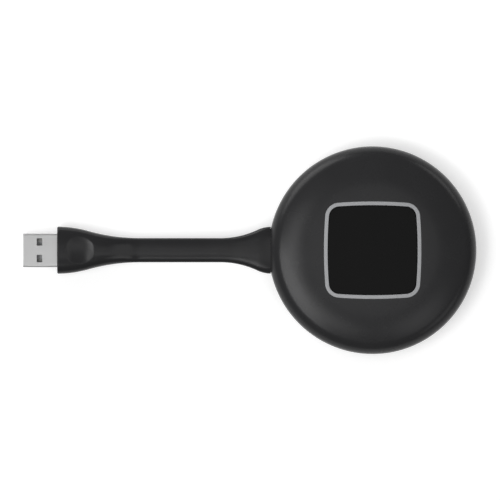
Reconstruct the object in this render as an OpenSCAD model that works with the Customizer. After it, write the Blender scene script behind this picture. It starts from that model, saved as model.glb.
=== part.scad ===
// Round push-button dongle on a short flat lead with a type-A plug.
// Millimetres, +Z up. The origin is the centre of the foot pad's underside, and the lead runs towards -X.

/* [Body] */
// Diameter of the round body
body_d = 73; // [71:0.5:80]
// Height from the surface it rests on to the crown
body_h = 16.5; // [16:0.1:19]
// Wall thickness of both covers
wall = 1.6; // [1.3:0.1:1.8]
// Radius of the tight rim on the top cover
rim_r = 6.1; // [5.4:0.1:6.8]
// Slope where the rim meets the shoulder, in degrees
rim_slope = 18; // [16:0.5:20]
// Slope where the shoulder meets the crown, in degrees
crown_slope = 4; // [3:0.25:5]
// Radius at which the shoulder meets the crown
crown_edge_r = 22.5; // [21:0.25:24]
// Height of the straight land below the parting line
land_h = 0.8; // [0.4:0.1:1.2]
// Height of the lip that locates the top cover on the base
lip_h = 0.9; // [0.6:0.1:1.1]
// Thickness of that lip
lip_t = 0.7; // [0.5:0.1:0.9]
// Depth of the flat seat cut into the rim for the lead
seat_depth = 0.75; // [0.5:0.05:1]
// Thickness of the wall around the lead's port
port_wall = 2.1; // [1.8:0.1:2.4]
// Width of the thickened wall around the lead's port
port_block_w = 16; // [14:0.5:18]

/* [Foot] */
// Thickness of the foot pad
pad_t = 1.2; // [1:0.1:1.5]
// Depth of the foot pad's seat in the base
pad_seat = 0.6; // [0.4:0.1:0.8]
// How far the foot pad reaches past the screw heads
pad_cover = 1.1; // [0.6:0.1:1.6]
// Width of the grip grooves in the foot pad
pad_groove_w = 1; // [0.6:0.1:1.6]
// Depth of the grip grooves
pad_groove_t = 0.3; // [0.2:0.05:0.4]
// Number of grip grooves
pad_grooves = 3; // [1:1:4]

/* [Button and light ring] */
// Width across the light ring
ring_w = 34.2; // [32:0.1:35.5]
// Width of the light ring's visible line
ring_line = 1.3; // [1:0.1:1.8]
// Radius of the bow in the ring's sides
side_bow_r = 160; // [90:1:300]
// Outer corner radius of the light ring
ring_corner_r = 5; // [4:0.1:6]
// Reach of the light ring's flange under the cover
ring_flange = 1.2; // [0.8:0.1:1.5]
// Thickness of that flange at its corners
ring_flange_t = 0.9; // [0.6:0.1:1.2]
// Width of each light pipe leg
ring_leg_w = 3; // [2:0.1:4]
// Place of the light pipe legs, from the middle of each side
ring_leg_at = 8.5; // [7:0.1:10]
// Gap between the button and the light ring
key_gap = 0.25; // [0.15:0.05:0.35]
// Travel of the button
key_travel = 0.5; // [0.3:0.05:0.7]
// Room left under the button at the end of its travel
key_stop = 0.3; // [0.2:0.05:0.4]
// Depth of the button's face below the crown
key_recess = 0.1; // [0.05:0.05:0.3]
// Diameter of the button's guide posts
guide_d = 2.4; // [1.8:0.1:3]
// Place of the guide posts along X and Y
guide_at = 10.5; // [8:0.1:11]
// Reach of the guide posts below the key frame
guide_reach = 1; // [0.6:0.1:1.5]
// Diameter of the plunger that presses the switch
plunger_d = 6; // [4:0.1:7]
// Thickness of the key frame
frame_t = 1.4; // [1:0.1:1.8]
// Diameter of the key frame's ears
ear_d = 6; // [5:0.1:7]
// Diameter of the posts that hold the ears
stake_d = 2; // [1.6:0.1:2.4]
// Width of the button's snap legs
snap_w = 4; // [3:0.1:5]
// Thickness of the snap legs
snap_t = 1; // [0.8:0.1:1.2]
// Overhang of the snap legs' barbs
snap_barb = 0.6; // [0.4:0.1:0.8]

/* [Switch] */
// Width of the switch body
switch_w = 6.2; // [6:0.1:7]
// Height of the switch body
switch_h = 3.4; // [3.2:0.1:4]
// Reach of the switch's stem above its body
stem_proud = 1.2; // [1:0.1:1.4]
// Diameter of the switch's stem
stem_d = 3.4; // [3:0.1:3.8]
// Diameter of the snap dome
dome_d = 4.8; // [4.4:0.1:5]
// Height of the snap dome
dome_rise = 0.85; // [0.8:0.05:0.9]
// Thickness of the snap dome
dome_t = 0.12; // [0.08:0.01:0.2]

/* [Board] */
// Height of the board's underside above the floor of the base
board_stand = 2.4; // [2.2:0.1:2.8]
// Thickness of the board
board_t = 1; // [0.8:0.1:1.6]
// Width of the board's edge outside the boss holes
board_edge = 1.4; // [1:0.1:2]
// Side of the processor
processor_w = 12; // [8:0.5:14]
// Thickness of the processor
processor_t = 1.2; // [0.8:0.1:1.4]
// Length of the heat spreader
spreader_l = 36; // [28:0.5:38]
// Width of the heat spreader
spreader_w = 26; // [20:0.5:28]
// Thickness of the heat spreader
spreader_t = 0.5; // [0.3:0.05:0.7]
// Length of the radio module
radio_l = 10; // [8:0.5:10.5]
// Width of the radio module
radio_w = 12; // [8:0.5:13]
// Height of the radio module's can
radio_can_h = 1.6; // [1.2:0.1:2]

/* [Screws] */
// Diameter of the screw heads
screw_head_d = 3.6; // [3.2:0.1:3.8]
// Height of the screw heads
screw_head_h = 1.2; // [1:0.1:1.4]
// Diameter of the screw shanks
screw_d = 1.9; // [1.6:0.1:2.1]
// Length of the cover screws under the head
cover_screw_l = 8; // [6:0.5:9]
// Length of the board screws under the head
board_screw_l = 2.8; // [2:0.1:3]
// Diameter of the top cover's screw bosses
boss_d = 5; // [4.6:0.1:5.4]

/* [Lead] */
// Width of the flat lead
lead_w = 8.53; // [7.5:0.1:9.5]
// Thickness of the flat lead
lead_t = 3.8; // [3.4:0.1:4.4]
// Depth of the step where the mouldings grip the lead
lead_step = 0.6; // [0.4:0.1:0.7]
// Width of the flare where it meets the body
flare_w = 16.5; // [14:0.1:17.5]
// Thickness of the flare where it meets the body
flare_t = 5; // [4.8:0.1:6]
// Radius of the flare's hollow curve
flare_hollow_r = 30.8; // [28:0.2:32]
// Width of the strain relief's neck
neck_w = 10.6; // [9.6:0.1:11]
// Thickness of that neck
neck_t = 4; // [3.8:0.1:4.2]
// Width of the anchor inside the body
anchor_w = 13; // [12:0.1:13.4]
// Height of the anchor
anchor_h = 6.4; // [6:0.1:6.6]
// Thickness of the anchor
anchor_t = 1.8; // [1.2:0.1:2]

/* [Plug] */
// Width of the grip at the plug
grip_w = 16.6; // [15.5:0.1:18]
// Thickness of the grip at the plug
grip_t = 9; // [8:0.1:9]
// Radius of the grip's hollow curve
grip_hollow_r = 68; // [62:0.5:74]
// Length over which the grip thins towards the lead
grip_taper_l = 15.8; // [14:0.1:17]
// Edge radius of the grip's front
grip_edge_r = 0.4; // [0.2:0.1:0.5]
// Radius of the thumb dimple
dimple_r = 4.85; // [4:0.05:5.2]
// Depth of the thumb dimple below its lowest edge
dimple_depth = 0.3; // [0.15:0.05:0.4]
// Distance of the thumb dimple from the grip's front
dimple_at = 8.1; // [7:0.1:9]
// Width of the inner block
core_w = 12.9; // [12.7:0.1:13.2]
// Thickness of the inner block
core_t = 6.2; // [5.6:0.1:6.6]
// Corner radius of the inner block
core_corner_r = 1.6; // [0.8:0.1:2]
// Length of the inner block
core_l = 9.3; // [8.4:0.1:9.5]
// Thickness of the grip's front wall
grip_front = 0.5; // [0.5:0.1:0.8]
// Width of the plug shell
shell_w = 12; // [11.8:0.05:12.1]
// Thickness of the plug shell
shell_t = 4.5; // [4.4:0.05:4.6]
// Reach of the plug shell from the grip
shell_reach = 11.95; // [11:0.05:12.5]
// Depth of the plug shell inside the grip
shell_depth = 6; // [5:0.1:7]
// Sheet thickness of the plug shell
shell_wall = 0.3; // [0.25:0.05:0.4]
// Outer corner radius of the plug shell
shell_corner_r = 0.7; // [0.5:0.05:1]
// Length of the windows in the shell
window_l = 2; // [1.8:0.1:2.3]
// Width of the windows
window_w = 2.5; // [2.2:0.1:2.7]
// Distance between the centres of the windows
window_pitch = 5.87; // [5.4:0.01:6.2]
// Distance of the windows' centres from the tip
window_at = 5.78; // [5.2:0.01:6.2]
// Thickness of the tongue
tongue_t = 1.9; // [1.7:0.05:2]
// Width of the contact strips
contact_w = 1; // [0.8:0.05:1.2]

/* [Hidden] */

$fn = 96;

// Steps along each round stretch of an outline
rim_steps = 12;
shoulder_steps = 8;
crown_steps = 6;
side_steps = 8;
corner_steps = 8;

// Clearance between fixed pieces that fit together
fit = 0.05;
// Clearance between the covers' locating faces
lip_gap = 0.25;
// Overrun of a cut past the face it opens
over = 1;
// The four corners and the four sides of the square key
quarters = [0 : 90 : 270];

// Centre line of the lead, from its end in the body to its end in the plug
lead_route = [
    [-31, 0, 7.5], [-37, 0, 7.5], [-41, 0, 7.45], [-45, 0, 7.3], [-49, 0, 7.05], [-53.5, 0, 6.8],
    [-57, 0, 6.55], [-61, 0, 6.3], [-65, 0, 6.05], [-69, 0, 5.8], [-73, 0, 5.55], [-77, 0, 5.3],
    [-81.5, 0, 5], [-85, 0, 4.8], [-88, 0, 4.65], [-92, 0, 4.55], [-96, 0, 4.5], [-101, 0, 4.5]
];
// Points of the route where the free stretch starts and ends
free_from = 5;
free_to = 12;
lead_sides = 12;
moulding_sides = 40;
// Roundness of the lead's and mouldings' sections, and of the neck's: 2 is an ellipse, more is squarer
lead_round = 3.2;
neck_round = 4;

// Dome of the top cover: crown, shoulder and rim arcs that meet on a common slope
body_r = body_d / 2;
pad_proud = pad_t - pad_seat;
rim_centre_r = body_r - rim_r;
shoulder_edge_r = rim_centre_r + rim_r * sin(rim_slope);
shoulder_r = (shoulder_edge_r - crown_edge_r) / (sin(rim_slope) - sin(crown_slope));
crown_r = crown_edge_r / sin(crown_slope);
crown_edge_z = body_h - crown_r * (1 - cos(crown_slope));
shoulder_edge_z = crown_edge_z - shoulder_r * (cos(crown_slope) - cos(rim_slope));
part_z = shoulder_edge_z - rim_r * cos(rim_slope);
crown_centre = [0, body_h - crown_r];
shoulder_centre = [
    crown_edge_r - shoulder_r * sin(crown_slope), crown_edge_z - shoulder_r * cos(crown_slope)
];
rim_centre = [rim_centre_r, part_z];

// Bowl of the base
base_rim_r = part_z - land_h - pad_proud;
base_rim_z = pad_proud + base_rim_r;
base_flat_r = body_r - base_rim_r;
floor_z = pad_proud + wall;

// Square outline with bowed sides, shared by the ring, the button and the opening
ring_half = ring_w / 2;
bow_back = side_bow_r - ring_half;
bow_to_corner = side_bow_r - ring_corner_r;
corner_at = (sqrt(2 * pow(bow_to_corner, 2) - pow(bow_back, 2)) - bow_back) / 2;
corner_reach = corner_at * sqrt(2) + ring_corner_r + ring_flange;
ring_middle = ring_half - ring_line / 2;
key_inset = ring_line + key_gap;

// Levels of the key, from the crown down, and of the board, from the floor up
frame_top = crown_z(corner_reach) - wall - fit - ring_flange_t;
frame_z = frame_top - frame_t;
cap_z = frame_top + key_travel + key_stop;
board_z = floor_z + board_stand;
board_top = board_z + board_t;
stem_top = board_top + switch_h + stem_proud;
ring_leg_t = ring_line - 2 * fit;
snap_at = guide_at + guide_d / 2;
// Running clearance of the guide posts, and of the plunger and snap legs, in the key frame
guide_room = 0.08;
slot_room = 0.2;
plunger_room = 0.4;

// Posts of the top cover that pass through the key frame's ears, with their melted heads
stake_room = 0.8;
stake_head_rim = 0.7;
stake_head_h = 0.7;
stake_head_d = stake_d + 2 * stake_head_rim;
ear_at = ring_half + ring_flange + stake_room + stake_d / 2;

// Screws and what they hold
screw_room = 0.25;
boss_room = 0.6;
cover_screw_r = corner_reach + boss_room + boss_d / 2;
cover_screw_turn = 45;
boss_hole_room = 0.4;
boss_hole_d = boss_d + 2 * boss_hole_room;
post_wall = 1.3;
cover_post_d = screw_head_d + 2 * screw_room + 2 * post_wall;
cover_post_z = board_z - boss_room;
cover_head_z = pad_t + fit;
cover_seat_z = cover_head_z + screw_head_h;
boss_gap = 0.1;
pilot_d = screw_d + 2 * fit;
board_r = cover_screw_r + boss_hole_d / 2 + board_edge;
board_screw_r = cover_screw_r;
board_screw_turns = [0, 100, 260];
pad_r = cover_screw_r + screw_head_d / 2 + pad_cover;

// Lead, strain relief and port
lead_z = lead_route[0].z;
plug_z = lead_route[len(lead_route) - 1].z;
lead_in_x = lead_route[0].x;
flare_end_x = lead_route[free_from].x;
grip_end_x = lead_route[free_to].x;
seat_x = seat_depth - body_r;
port_in_x = seat_x + port_wall;
anchor_x = port_in_x + fit;
rib_x = anchor_x + anchor_t + fit;
// Ribs of the base that keep the anchor against the port's wall, and the board's edge behind them
rib_t = 1.1;
rib_w = 2.2;
rib_room = 0.4;
board_cut_x = rib_x + rib_t + rib_room;
flare_rings = 14;

// Plug, from the end of the lead forwards
core_x = lead_route[len(lead_route) - 1].x - core_l;
grip_x = core_x - grip_front;
grip_rings = 20;
grip_edge_rings = 3;
tip_x = grip_x - shell_reach;
shell_x1 = grip_x + shell_depth;
tongue_recess = 0.5;
tongue_x = tip_x + tongue_recess;
tongue_block_x = grip_x;
tongue_z = plug_z - shell_t / 2 + shell_wall;
contact_t = 0.2;
contact_sink = 0.1;
contact_from = [1, 2, 2, 1];
contact_at = [-3.5, -1, 1, 3.5];

// Pieces on the board
spreader_corner_r = 3;
can_wall = 0.2;
can_rim = 0.5;
radio_board_t = 0.8;
radio_x = 10.3;
led_size = [1.6, 0.8, 0.6];
led_gap = 0.5;
memory_size = [8, 9, 1];
memory_at = [[-9, 6], [-9, -6]];
processor_at = [5, 0];
antenna_size = [2, 7, 1.2];
antenna_at = [26, 8];
coil_size = [4, 4, 2];
coil_at = [-21, 12];
crystal_size = [3.2, 2.5, 0.8];
crystal_at = [-21, -12];
passive_size = [1, 0.5, 0.5];
passive_turns = [22, 30, 60, 68, 112, 120, 202, 240, 248, 292, 300, 330, 338];
passive_r = 22.4;
header_size = [5, 9, 3.6];
wire_run = 3.5;
header_x = lead_in_x + wire_run;
wire_d = 1;
wire_pitch = 1.8;
wire_count = 4;
terminal_size = [1.1, 0.7, 0.3];
terminal_at = 2.25;
cavity_z = 0.4;
cavity_h = 1.6;
dome_room = 0.2;
cavity_d = dome_d + 2 * dome_room;
stem_flange_t = 0.6;
stem_flange_room = 0.15;
stem_flange_d = cavity_d - 2 * stem_flange_room;

body_colour = "#3b3b3d";
metal_colour = "#b9bbbd";
chip_colour = "#26272a";
board_colour = "#1f5a38";

function crown_z(r) = crown_centre.y + sqrt(pow(crown_r, 2) - pow(r, 2));
function turned(p, a) = [p.x * cos(a) - p.y * sin(a), p.x * sin(a) + p.y * cos(a)];
function root_of(v, power) = sign(v) * pow(abs(v), 2 / power);
function mix(a, b, share) = a + (b - a) * share;

// Points along an arc, from a first step on
function arc(centre, radius, from_a, to_a, steps, first = 0) = [
    for (i = [first : steps])
        let (a = mix(from_a, to_a, i / steps))
        centre + radius * [cos(a), sin(a)]
];

// Oval with a roundness, as points in its own plane
function oval(half_w, half_t, round_power, sides) = [
    for (k = [0 : sides - 1])
        let (a = 360 * k / sides)
        [half_w * root_of(cos(a), round_power), half_t * root_of(sin(a), round_power)]
];

// Rise of an S curve of two arcs with level ends, at a distance along it
function s_rise(along, length, rise, first_r) =
    let (
        second_r = (pow(length, 2) + pow(rise, 2)) / (2 * rise) - first_r,
        change = length * first_r / (first_r + second_r),
        d = min(max(along, 0), length)
    )
    d < change ? first_r - sqrt(pow(first_r, 2) - pow(d, 2))
               : rise - second_r + sqrt(pow(second_r, 2) - pow(length - d, 2));

// Radius of an arc that sags by a depth over half its chord
function sag_r(half, sag) = (pow(half, 2) + pow(sag, 2)) / (2 * sag);

// A section standing across X at a height
function ring_at(x, z, section) = [for (p = section) [x, p.x, z + p.y]];

// Sections of the lead along its route, and the route's height between its points
route_heights = [for (p = lead_route) [p.x, p.z]];
function route_z(x) = lookup(x, route_heights);
function route_ring(i, section) = ring_at(lead_route[i].x, lead_route[i].z, section);

lead_free = oval(lead_w / 2, lead_t / 2, lead_round, lead_sides);
lead_held = oval(lead_w / 2 - lead_step, lead_t / 2 - lead_step, lead_round, lead_sides);

function flare_section(x) =
    let (
        rise = (flare_w - lead_w) / 2,
        share = s_rise(x - flare_end_x, seat_x - flare_end_x, rise, flare_hollow_r) / rise
    )
    oval(mix(lead_w, flare_w, share) / 2, mix(lead_t, flare_t, share) / 2, lead_round, moulding_sides);

function grip_half_w(x) =
    lead_w / 2 + s_rise(grip_end_x - x, grip_end_x - grip_x, (grip_w - lead_w) / 2, grip_hollow_r);
function grip_half_t(x) =
    lead_t / 2 + s_rise(grip_end_x - x, grip_taper_l, (grip_t - lead_t) / 2, grip_taper_l);
function grip_section(x, inset) =
    oval(grip_half_w(x) - inset, grip_half_t(x) - inset, lead_round, moulding_sides);

// Solid through rings of points that follow each other towards -X
module loft(rings) {
    n = len(rings[0]);
    last = len(rings) - 1;
    sides = [
        for (i = [0 : last - 1], k = [0 : n - 1])
            let (a = i * n + k, b = i * n + (k + 1) % n)
            each [[a, b, b + n], [a, b + n, a + n]]
    ];
    polyhedron(
        [for (ring = rings) each ring],
        concat(sides, [[for (k = [n - 1 : -1 : 0]) k]], [[for (k = [0 : n - 1]) last * n + k]])
    );
}

// Outline in Y and Z, extruded along X
module along_x(from_x, to_x) {
    translate([from_x, 0, 0]) rotate([90, 0, 90]) linear_extrude(to_x - from_x) children();
}

// The top cover's outer form, drawn in by an inset and carried straight down below the parting line
module dome(inset, drop = 0) {
    rotate_extrude() polygon(concat(
        [[0, part_z - drop]],
        drop > 0 ? [[body_r - inset, part_z - drop]] : [],
        arc(rim_centre, rim_r - inset, 0, 90 - rim_slope, rim_steps),
        arc(shoulder_centre, shoulder_r - inset, 90 - rim_slope, 90 - crown_slope, shoulder_steps, 1),
        arc(crown_centre, crown_r - inset, 90 - crown_slope, 90, crown_steps, 1)
    ));
}

// The base's outer form, drawn in by an inset and carried straight up past the parting line
module bowl(inset, lift = 0) {
    rotate_extrude() polygon(concat(
        [[0, pad_proud + inset]],
        arc([base_flat_r, base_rim_z], base_rim_r - inset, -90, 0, rim_steps),
        [[body_r - inset, part_z + lift], [0, part_z + lift]]
    ));
}

// Square with bowed sides and round corners, grown outwards from the ring's edge
module bowed_square(grow) {
    meet = atan2(corner_at, corner_at + bow_back);
    side = arc([-bow_back, 0], side_bow_r + grow, -meet, meet, side_steps);
    corner = arc([corner_at, corner_at], ring_corner_r + grow, meet, 90 - meet, corner_steps, 1);
    quarter = concat(side, [for (i = [0 : corner_steps - 2]) corner[i]]);
    polygon([for (a = quarters, p = quarter) turned(p, a)]);
}

module round_rect(w, h, r) {
    square([w - 2 * r, h], center = true);
    square([w, h - 2 * r], center = true);
    for (x = [-1, 1], y = [-1, 1]) translate([x * (w / 2 - r), y * (h / 2 - r)]) circle(r);
}

// Places of the screws
module at_cover_screws() {
    for (a = quarters) rotate(a + cover_screw_turn) translate([cover_screw_r, 0, 0]) children();
}

module at_board_screws() {
    for (a = board_screw_turns) rotate(a) translate([board_screw_r, 0, 0]) children();
}

// Pan-head screw with its head below and its seat at the origin
module screw(length) {
    translate([0, 0, -screw_head_h]) cylinder(d = screw_head_d, h = screw_head_h);
    cylinder(d = screw_d, h = length);
}

// Block standing on a surface, centred on its place
module block(place, size) {
    translate([place.x - size.x / 2, place.y - size.y / 2, place.z]) cube(size);
}

// Opening for the strain relief's neck, and the flat that the flare seats on
module port_cut() {
    opening = oval(neck_w / 2 + fit, neck_t / 2 + fit, neck_round, moulding_sides);
    along_x(-body_r - over, port_in_x + over) translate([0, lead_z]) polygon(opening);
    translate([-body_r - over, -body_r, 0]) cube([seat_x + body_r + over, body_d, body_h]);
}

module port_block() {
    translate([-body_r, -port_block_w / 2, 0])
        cube([port_in_x + body_r, port_block_w, lead_z + anchor_h / 2]);
}

module top_cover() {
    color(body_colour) difference() {
        union() {
            difference() {
                dome(0);
                dome(wall, over);
            }
            intersection() {
                dome(0);
                port_block();
            }
            intersection() {
                dome(wall / 2, part_z);
                union() {
                    at_cover_screws()
                        translate([0, 0, cover_post_z + boss_gap]) cylinder(d = boss_d, h = body_h);
                    for (a = quarters) rotate(a) translate([ear_at, 0, frame_z - fit - stake_head_h]) {
                        cylinder(d = stake_d, h = body_h);
                        cylinder(d = stake_head_d, h = stake_head_h);
                    }
                }
            }
        }
        translate([0, 0, frame_top]) linear_extrude(body_h) bowed_square(fit);
        at_cover_screws() cylinder(d = pilot_d, h = cover_seat_z + cover_screw_l + fit);
        port_cut();
    }
}

module base_cover() {
    lip_r = body_r - wall - lip_gap;
    color(body_colour) difference() {
        union() {
            difference() {
                bowl(0);
                bowl(wall, over);
            }
            intersection() {
                bowl(0);
                port_block();
            }
            difference() {
                translate([0, 0, part_z - wall]) cylinder(r = body_r - wall / 2, h = wall);
                translate([0, 0, part_z - wall - over])
                    cylinder(r = lip_r - lip_t, h = wall + 2 * over);
            }
            difference() {
                translate([0, 0, part_z - wall]) cylinder(r = lip_r, h = wall + lip_h);
                translate([0, 0, part_z - wall - over])
                    cylinder(r = lip_r - lip_t, h = wall + lip_h + 2 * over);
                translate([-body_r, -port_block_w / 2 - lip_gap, part_z])
                    cube([body_r / 2, port_block_w + 2 * lip_gap, lip_h + over]);
            }
            at_cover_screws() translate([0, 0, floor_z - wall / 2])
                cylinder(d = cover_post_d, h = cover_post_z - floor_z + wall / 2);
            at_board_screws() translate([0, 0, floor_z - wall / 2])
                cylinder(d = boss_d, h = board_stand + wall / 2);
            for (side = [-1, 1])
                translate([rib_x, side * (anchor_w - rib_w) / 2 - rib_w / 2, floor_z - wall / 2])
                    cube([rib_t, rib_w, lead_z - floor_z + wall / 2 + rib_t]);
        }
        cylinder(r = pad_r + fit, h = pad_t);
        at_cover_screws() {
            cylinder(d = screw_head_d + 2 * screw_room, h = cover_seat_z);
            cylinder(d = screw_d + 2 * screw_room, h = body_h);
        }
        at_board_screws() translate([0, 0, board_top - board_screw_l - fit])
            cylinder(d = pilot_d, h = body_h);
        port_cut();
        translate([port_in_x, -anchor_w / 2 - fit, lead_z - anchor_h / 2 - fit])
            cube([anchor_t + 2 * fit, anchor_w + 2 * fit, body_h]);
    }
}

module foot_pad() {
    color("#1c1c1d") difference() {
        cylinder(r = pad_r, h = pad_t);
        for (i = [1 : pad_grooves]) {
            groove_r = pad_r * i / (pad_grooves + 1);
            translate([0, 0, -over]) difference() {
                cylinder(r = groove_r + pad_groove_w / 2, h = pad_groove_t + over);
                translate([0, 0, -over])
                    cylinder(r = groove_r - pad_groove_w / 2, h = pad_groove_t + 3 * over);
            }
        }
    }
}

// Places of the light pipe legs, two on each side of the ring
module at_ring_legs() {
    for (a = quarters, side = [-1, 1])
        rotate(a) translate([ring_middle, side * ring_leg_at, 0]) children();
}

module light_ring() {
    leg_z = board_top + led_size.z + led_gap;
    color("#a9abad") union() {
        intersection() {
            dome(0);
            translate([0, 0, frame_top]) linear_extrude(body_h) difference() {
                bowed_square(0);
                bowed_square(-ring_line);
            }
        }
        intersection() {
            dome(wall + fit);
            translate([0, 0, frame_top]) linear_extrude(body_h) difference() {
                bowed_square(ring_flange);
                bowed_square(-ring_line);
            }
        }
        at_ring_legs() translate([-ring_leg_t / 2, -ring_leg_w / 2, leg_z])
            cube([ring_leg_t, ring_leg_w, frame_top - leg_z + ring_flange_t / 2]);
    }
}

// Places of the four guide posts
module at_guides() {
    for (x = [-1, 1], y = [-1, 1]) translate([x * guide_at, y * guide_at, 0]) children();
}

module button_cap() {
    snap_z = frame_z - fit - snap_t;
    color("#161617") union() {
        intersection() {
            dome(key_recess);
            translate([0, 0, cap_z]) linear_extrude(body_h) bowed_square(-key_inset);
        }
        at_guides() translate([0, 0, frame_z - guide_reach])
            cylinder(d = guide_d, h = cap_z - frame_z + guide_reach + key_stop);
        translate([0, 0, stem_top + fit])
            cylinder(d = plunger_d, h = cap_z - stem_top - fit + key_stop);
        for (a = [0, 180]) rotate(a) {
            translate([-snap_w / 2, snap_at, snap_z]) cube([snap_w, snap_t, cap_z - snap_z + key_stop]);
            translate([-snap_w / 2, snap_at, snap_z]) cube([snap_w, snap_t + snap_barb, snap_t]);
        }
    }
}

module key_frame() {
    color("#515256") difference() {
        translate([0, 0, frame_z]) linear_extrude(frame_t) union() {
            bowed_square(ring_flange);
            for (a = quarters) rotate(a) translate([ear_at, 0]) circle(d = ear_d);
        }
        translate([0, 0, frame_z - over]) {
            for (a = quarters) rotate(a) translate([ear_at, 0, 0])
                cylinder(d = stake_d + 2 * fit, h = frame_t + 2 * over);
            at_guides() cylinder(d = guide_d + 2 * guide_room, h = frame_t + 2 * over);
            cylinder(d = plunger_d + 2 * plunger_room, h = frame_t + 2 * over);
            at_ring_legs() translate([-ring_leg_t / 2 - fit, -ring_leg_w / 2 - fit, 0])
                cube([ring_leg_t + 2 * fit, ring_leg_w + 2 * fit, frame_t + 2 * over]);
            for (a = [0, 180]) rotate(a) translate([-snap_w / 2 - slot_room, snap_at - slot_room, 0])
                cube([snap_w + 2 * slot_room, snap_t + 2 * slot_room, frame_t + 2 * over]);
        }
    }
}

module switch_body() {
    color(chip_colour) difference() {
        block([0, 0, board_top], [switch_w, switch_w, switch_h]);
        translate([0, 0, board_top + cavity_z]) cylinder(d = cavity_d, h = cavity_h);
        translate([0, 0, board_top + cavity_z]) cylinder(d = stem_d + 2 * fit, h = switch_h);
    }
}

module switch_actuator() {
    color("#d8d4c8") {
        translate([0, 0, board_top + cavity_z + cavity_h - fit - stem_flange_t]) {
            cylinder(d = stem_flange_d, h = stem_flange_t);
            cylinder(d = stem_d, h = stem_top - board_top - cavity_z - cavity_h + fit + stem_flange_t);
        }
    }
}

module switch_dome() {
    sphere_r = sag_r(dome_d / 2, dome_rise);
    color(metal_colour) translate([0, 0, board_top + cavity_z]) intersection() {
        translate([0, 0, dome_rise - sphere_r]) difference() {
            sphere(sphere_r);
            sphere(sphere_r - dome_t);
        }
        cylinder(d = dome_d, h = dome_rise + over);
    }
}

module switch_terminals() {
    color(metal_colour) for (x = [-1, 1], y = [-1, 1])
        block([x * (switch_w + terminal_size.x) / 2, y * terminal_at, board_top], terminal_size);
}

module main_board() {
    color(board_colour) difference() {
        translate([0, 0, board_z]) cylinder(r = board_r, h = board_t);
        at_cover_screws() cylinder(d = boss_hole_d, h = body_h);
        at_board_screws() cylinder(d = screw_d + 2 * screw_room, h = body_h);
        translate([-body_r - over, -body_r, 0]) cube([board_cut_x + body_r + over, body_d, body_h]);
    }
}

module board_screws() {
    color(metal_colour) at_board_screws()
        translate([0, 0, board_top]) mirror([0, 0, 1]) screw(board_screw_l);
}

module cover_screws() {
    color(metal_colour) at_cover_screws() translate([0, 0, cover_seat_z]) screw(cover_screw_l);
}

module processor() {
    color(chip_colour) block(
        [processor_at.x, processor_at.y, board_z - processor_t],
        [processor_w, processor_w, processor_t]
    );
}

module memory_chips() {
    color(chip_colour) for (p = memory_at) block([p.x, p.y, board_z - memory_size.z], memory_size);
}

module thermal_pad() {
    color("#8d9aa6") block(
        [processor_at.x, processor_at.y, floor_z + spreader_t],
        [processor_w, processor_w, board_stand - spreader_t - processor_t]
    );
}

module heat_spreader() {
    color("#c9ccd0") translate([0, 0, floor_z]) linear_extrude(spreader_t)
        round_rect(spreader_l, spreader_w, spreader_corner_r);
}

module radio_module() {
    color(board_colour) block([radio_x, 0, board_top], [radio_l, radio_w, radio_board_t]);
}

module radio_shield() {
    can = [radio_l - 2 * can_rim, radio_w - 2 * can_rim, radio_can_h];
    hollow = can - [2 * can_wall, 2 * can_wall, can_wall];
    can_z = board_top + radio_board_t;
    color(metal_colour) difference() {
        block([radio_x, 0, can_z], can);
        block([radio_x, 0, can_z - over], hollow + [0, 0, over]);
    }
}

module antennas() {
    color("#e6e2d6") for (side = [-1, 1])
        block([antenna_at.x, side * antenna_at.y, board_top], antenna_size);
}

module ring_leds() {
    color("#f0eee2") at_ring_legs() block([0, 0, board_top], [led_size.y, led_size.x, led_size.z]);
}

module power_coil() {
    color("#4a4b50") block([coil_at.x, coil_at.y, board_top], coil_size);
}

module crystal() {
    color(metal_colour) block([crystal_at.x, crystal_at.y, board_top], crystal_size);
}

module board_passives() {
    color("#8a6f52") for (a = passive_turns) rotate(a) block([passive_r, 0, board_top], passive_size);
}

module lead_connector() {
    color("#e8e6dd") block([header_x + header_size.x / 2, 0, board_top], header_size);
}

module lead_wires() {
    color("#b04a3a") for (i = [0 : wire_count - 1])
        translate([0, (i - (wire_count - 1) / 2) * wire_pitch, lead_z])
            along_x(lead_in_x, header_x) circle(d = wire_d);
}

// The lead's gripped section along the whole route, run on a little into the plug
module lead_core() {
    last = len(lead_route) - 1;
    end = ring_at(lead_route[last].x - over, plug_z, lead_held);
    loft(concat([for (i = [0 : last]) route_ring(i, lead_held)], [end]));
}

module strain_relief() {
    anchor = oval(anchor_w / 2, anchor_h / 2, neck_round, moulding_sides);
    neck = oval(neck_w / 2, neck_t / 2, neck_round, moulding_sides);
    color(body_colour) difference() {
        loft(concat(
            [
                ring_at(anchor_x + anchor_t, lead_z, anchor), ring_at(anchor_x, lead_z, anchor),
                ring_at(anchor_x, lead_z, neck), ring_at(seat_x, lead_z, neck)
            ],
            [
                for (i = [0 : flare_rings])
                    let (x = mix(seat_x, flare_end_x, i / flare_rings))
                    ring_at(x, route_z(x), flare_section(x))
            ]
        ));
        lead_core();
    }
}

module lead() {
    last = len(lead_route) - 1;
    color(body_colour) loft(concat(
        [for (i = [0 : free_from]) route_ring(i, lead_held)],
        [for (i = [free_from : free_to]) route_ring(i, lead_free)],
        [for (i = [free_to : last]) route_ring(i, lead_held)]
    ));
}

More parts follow.
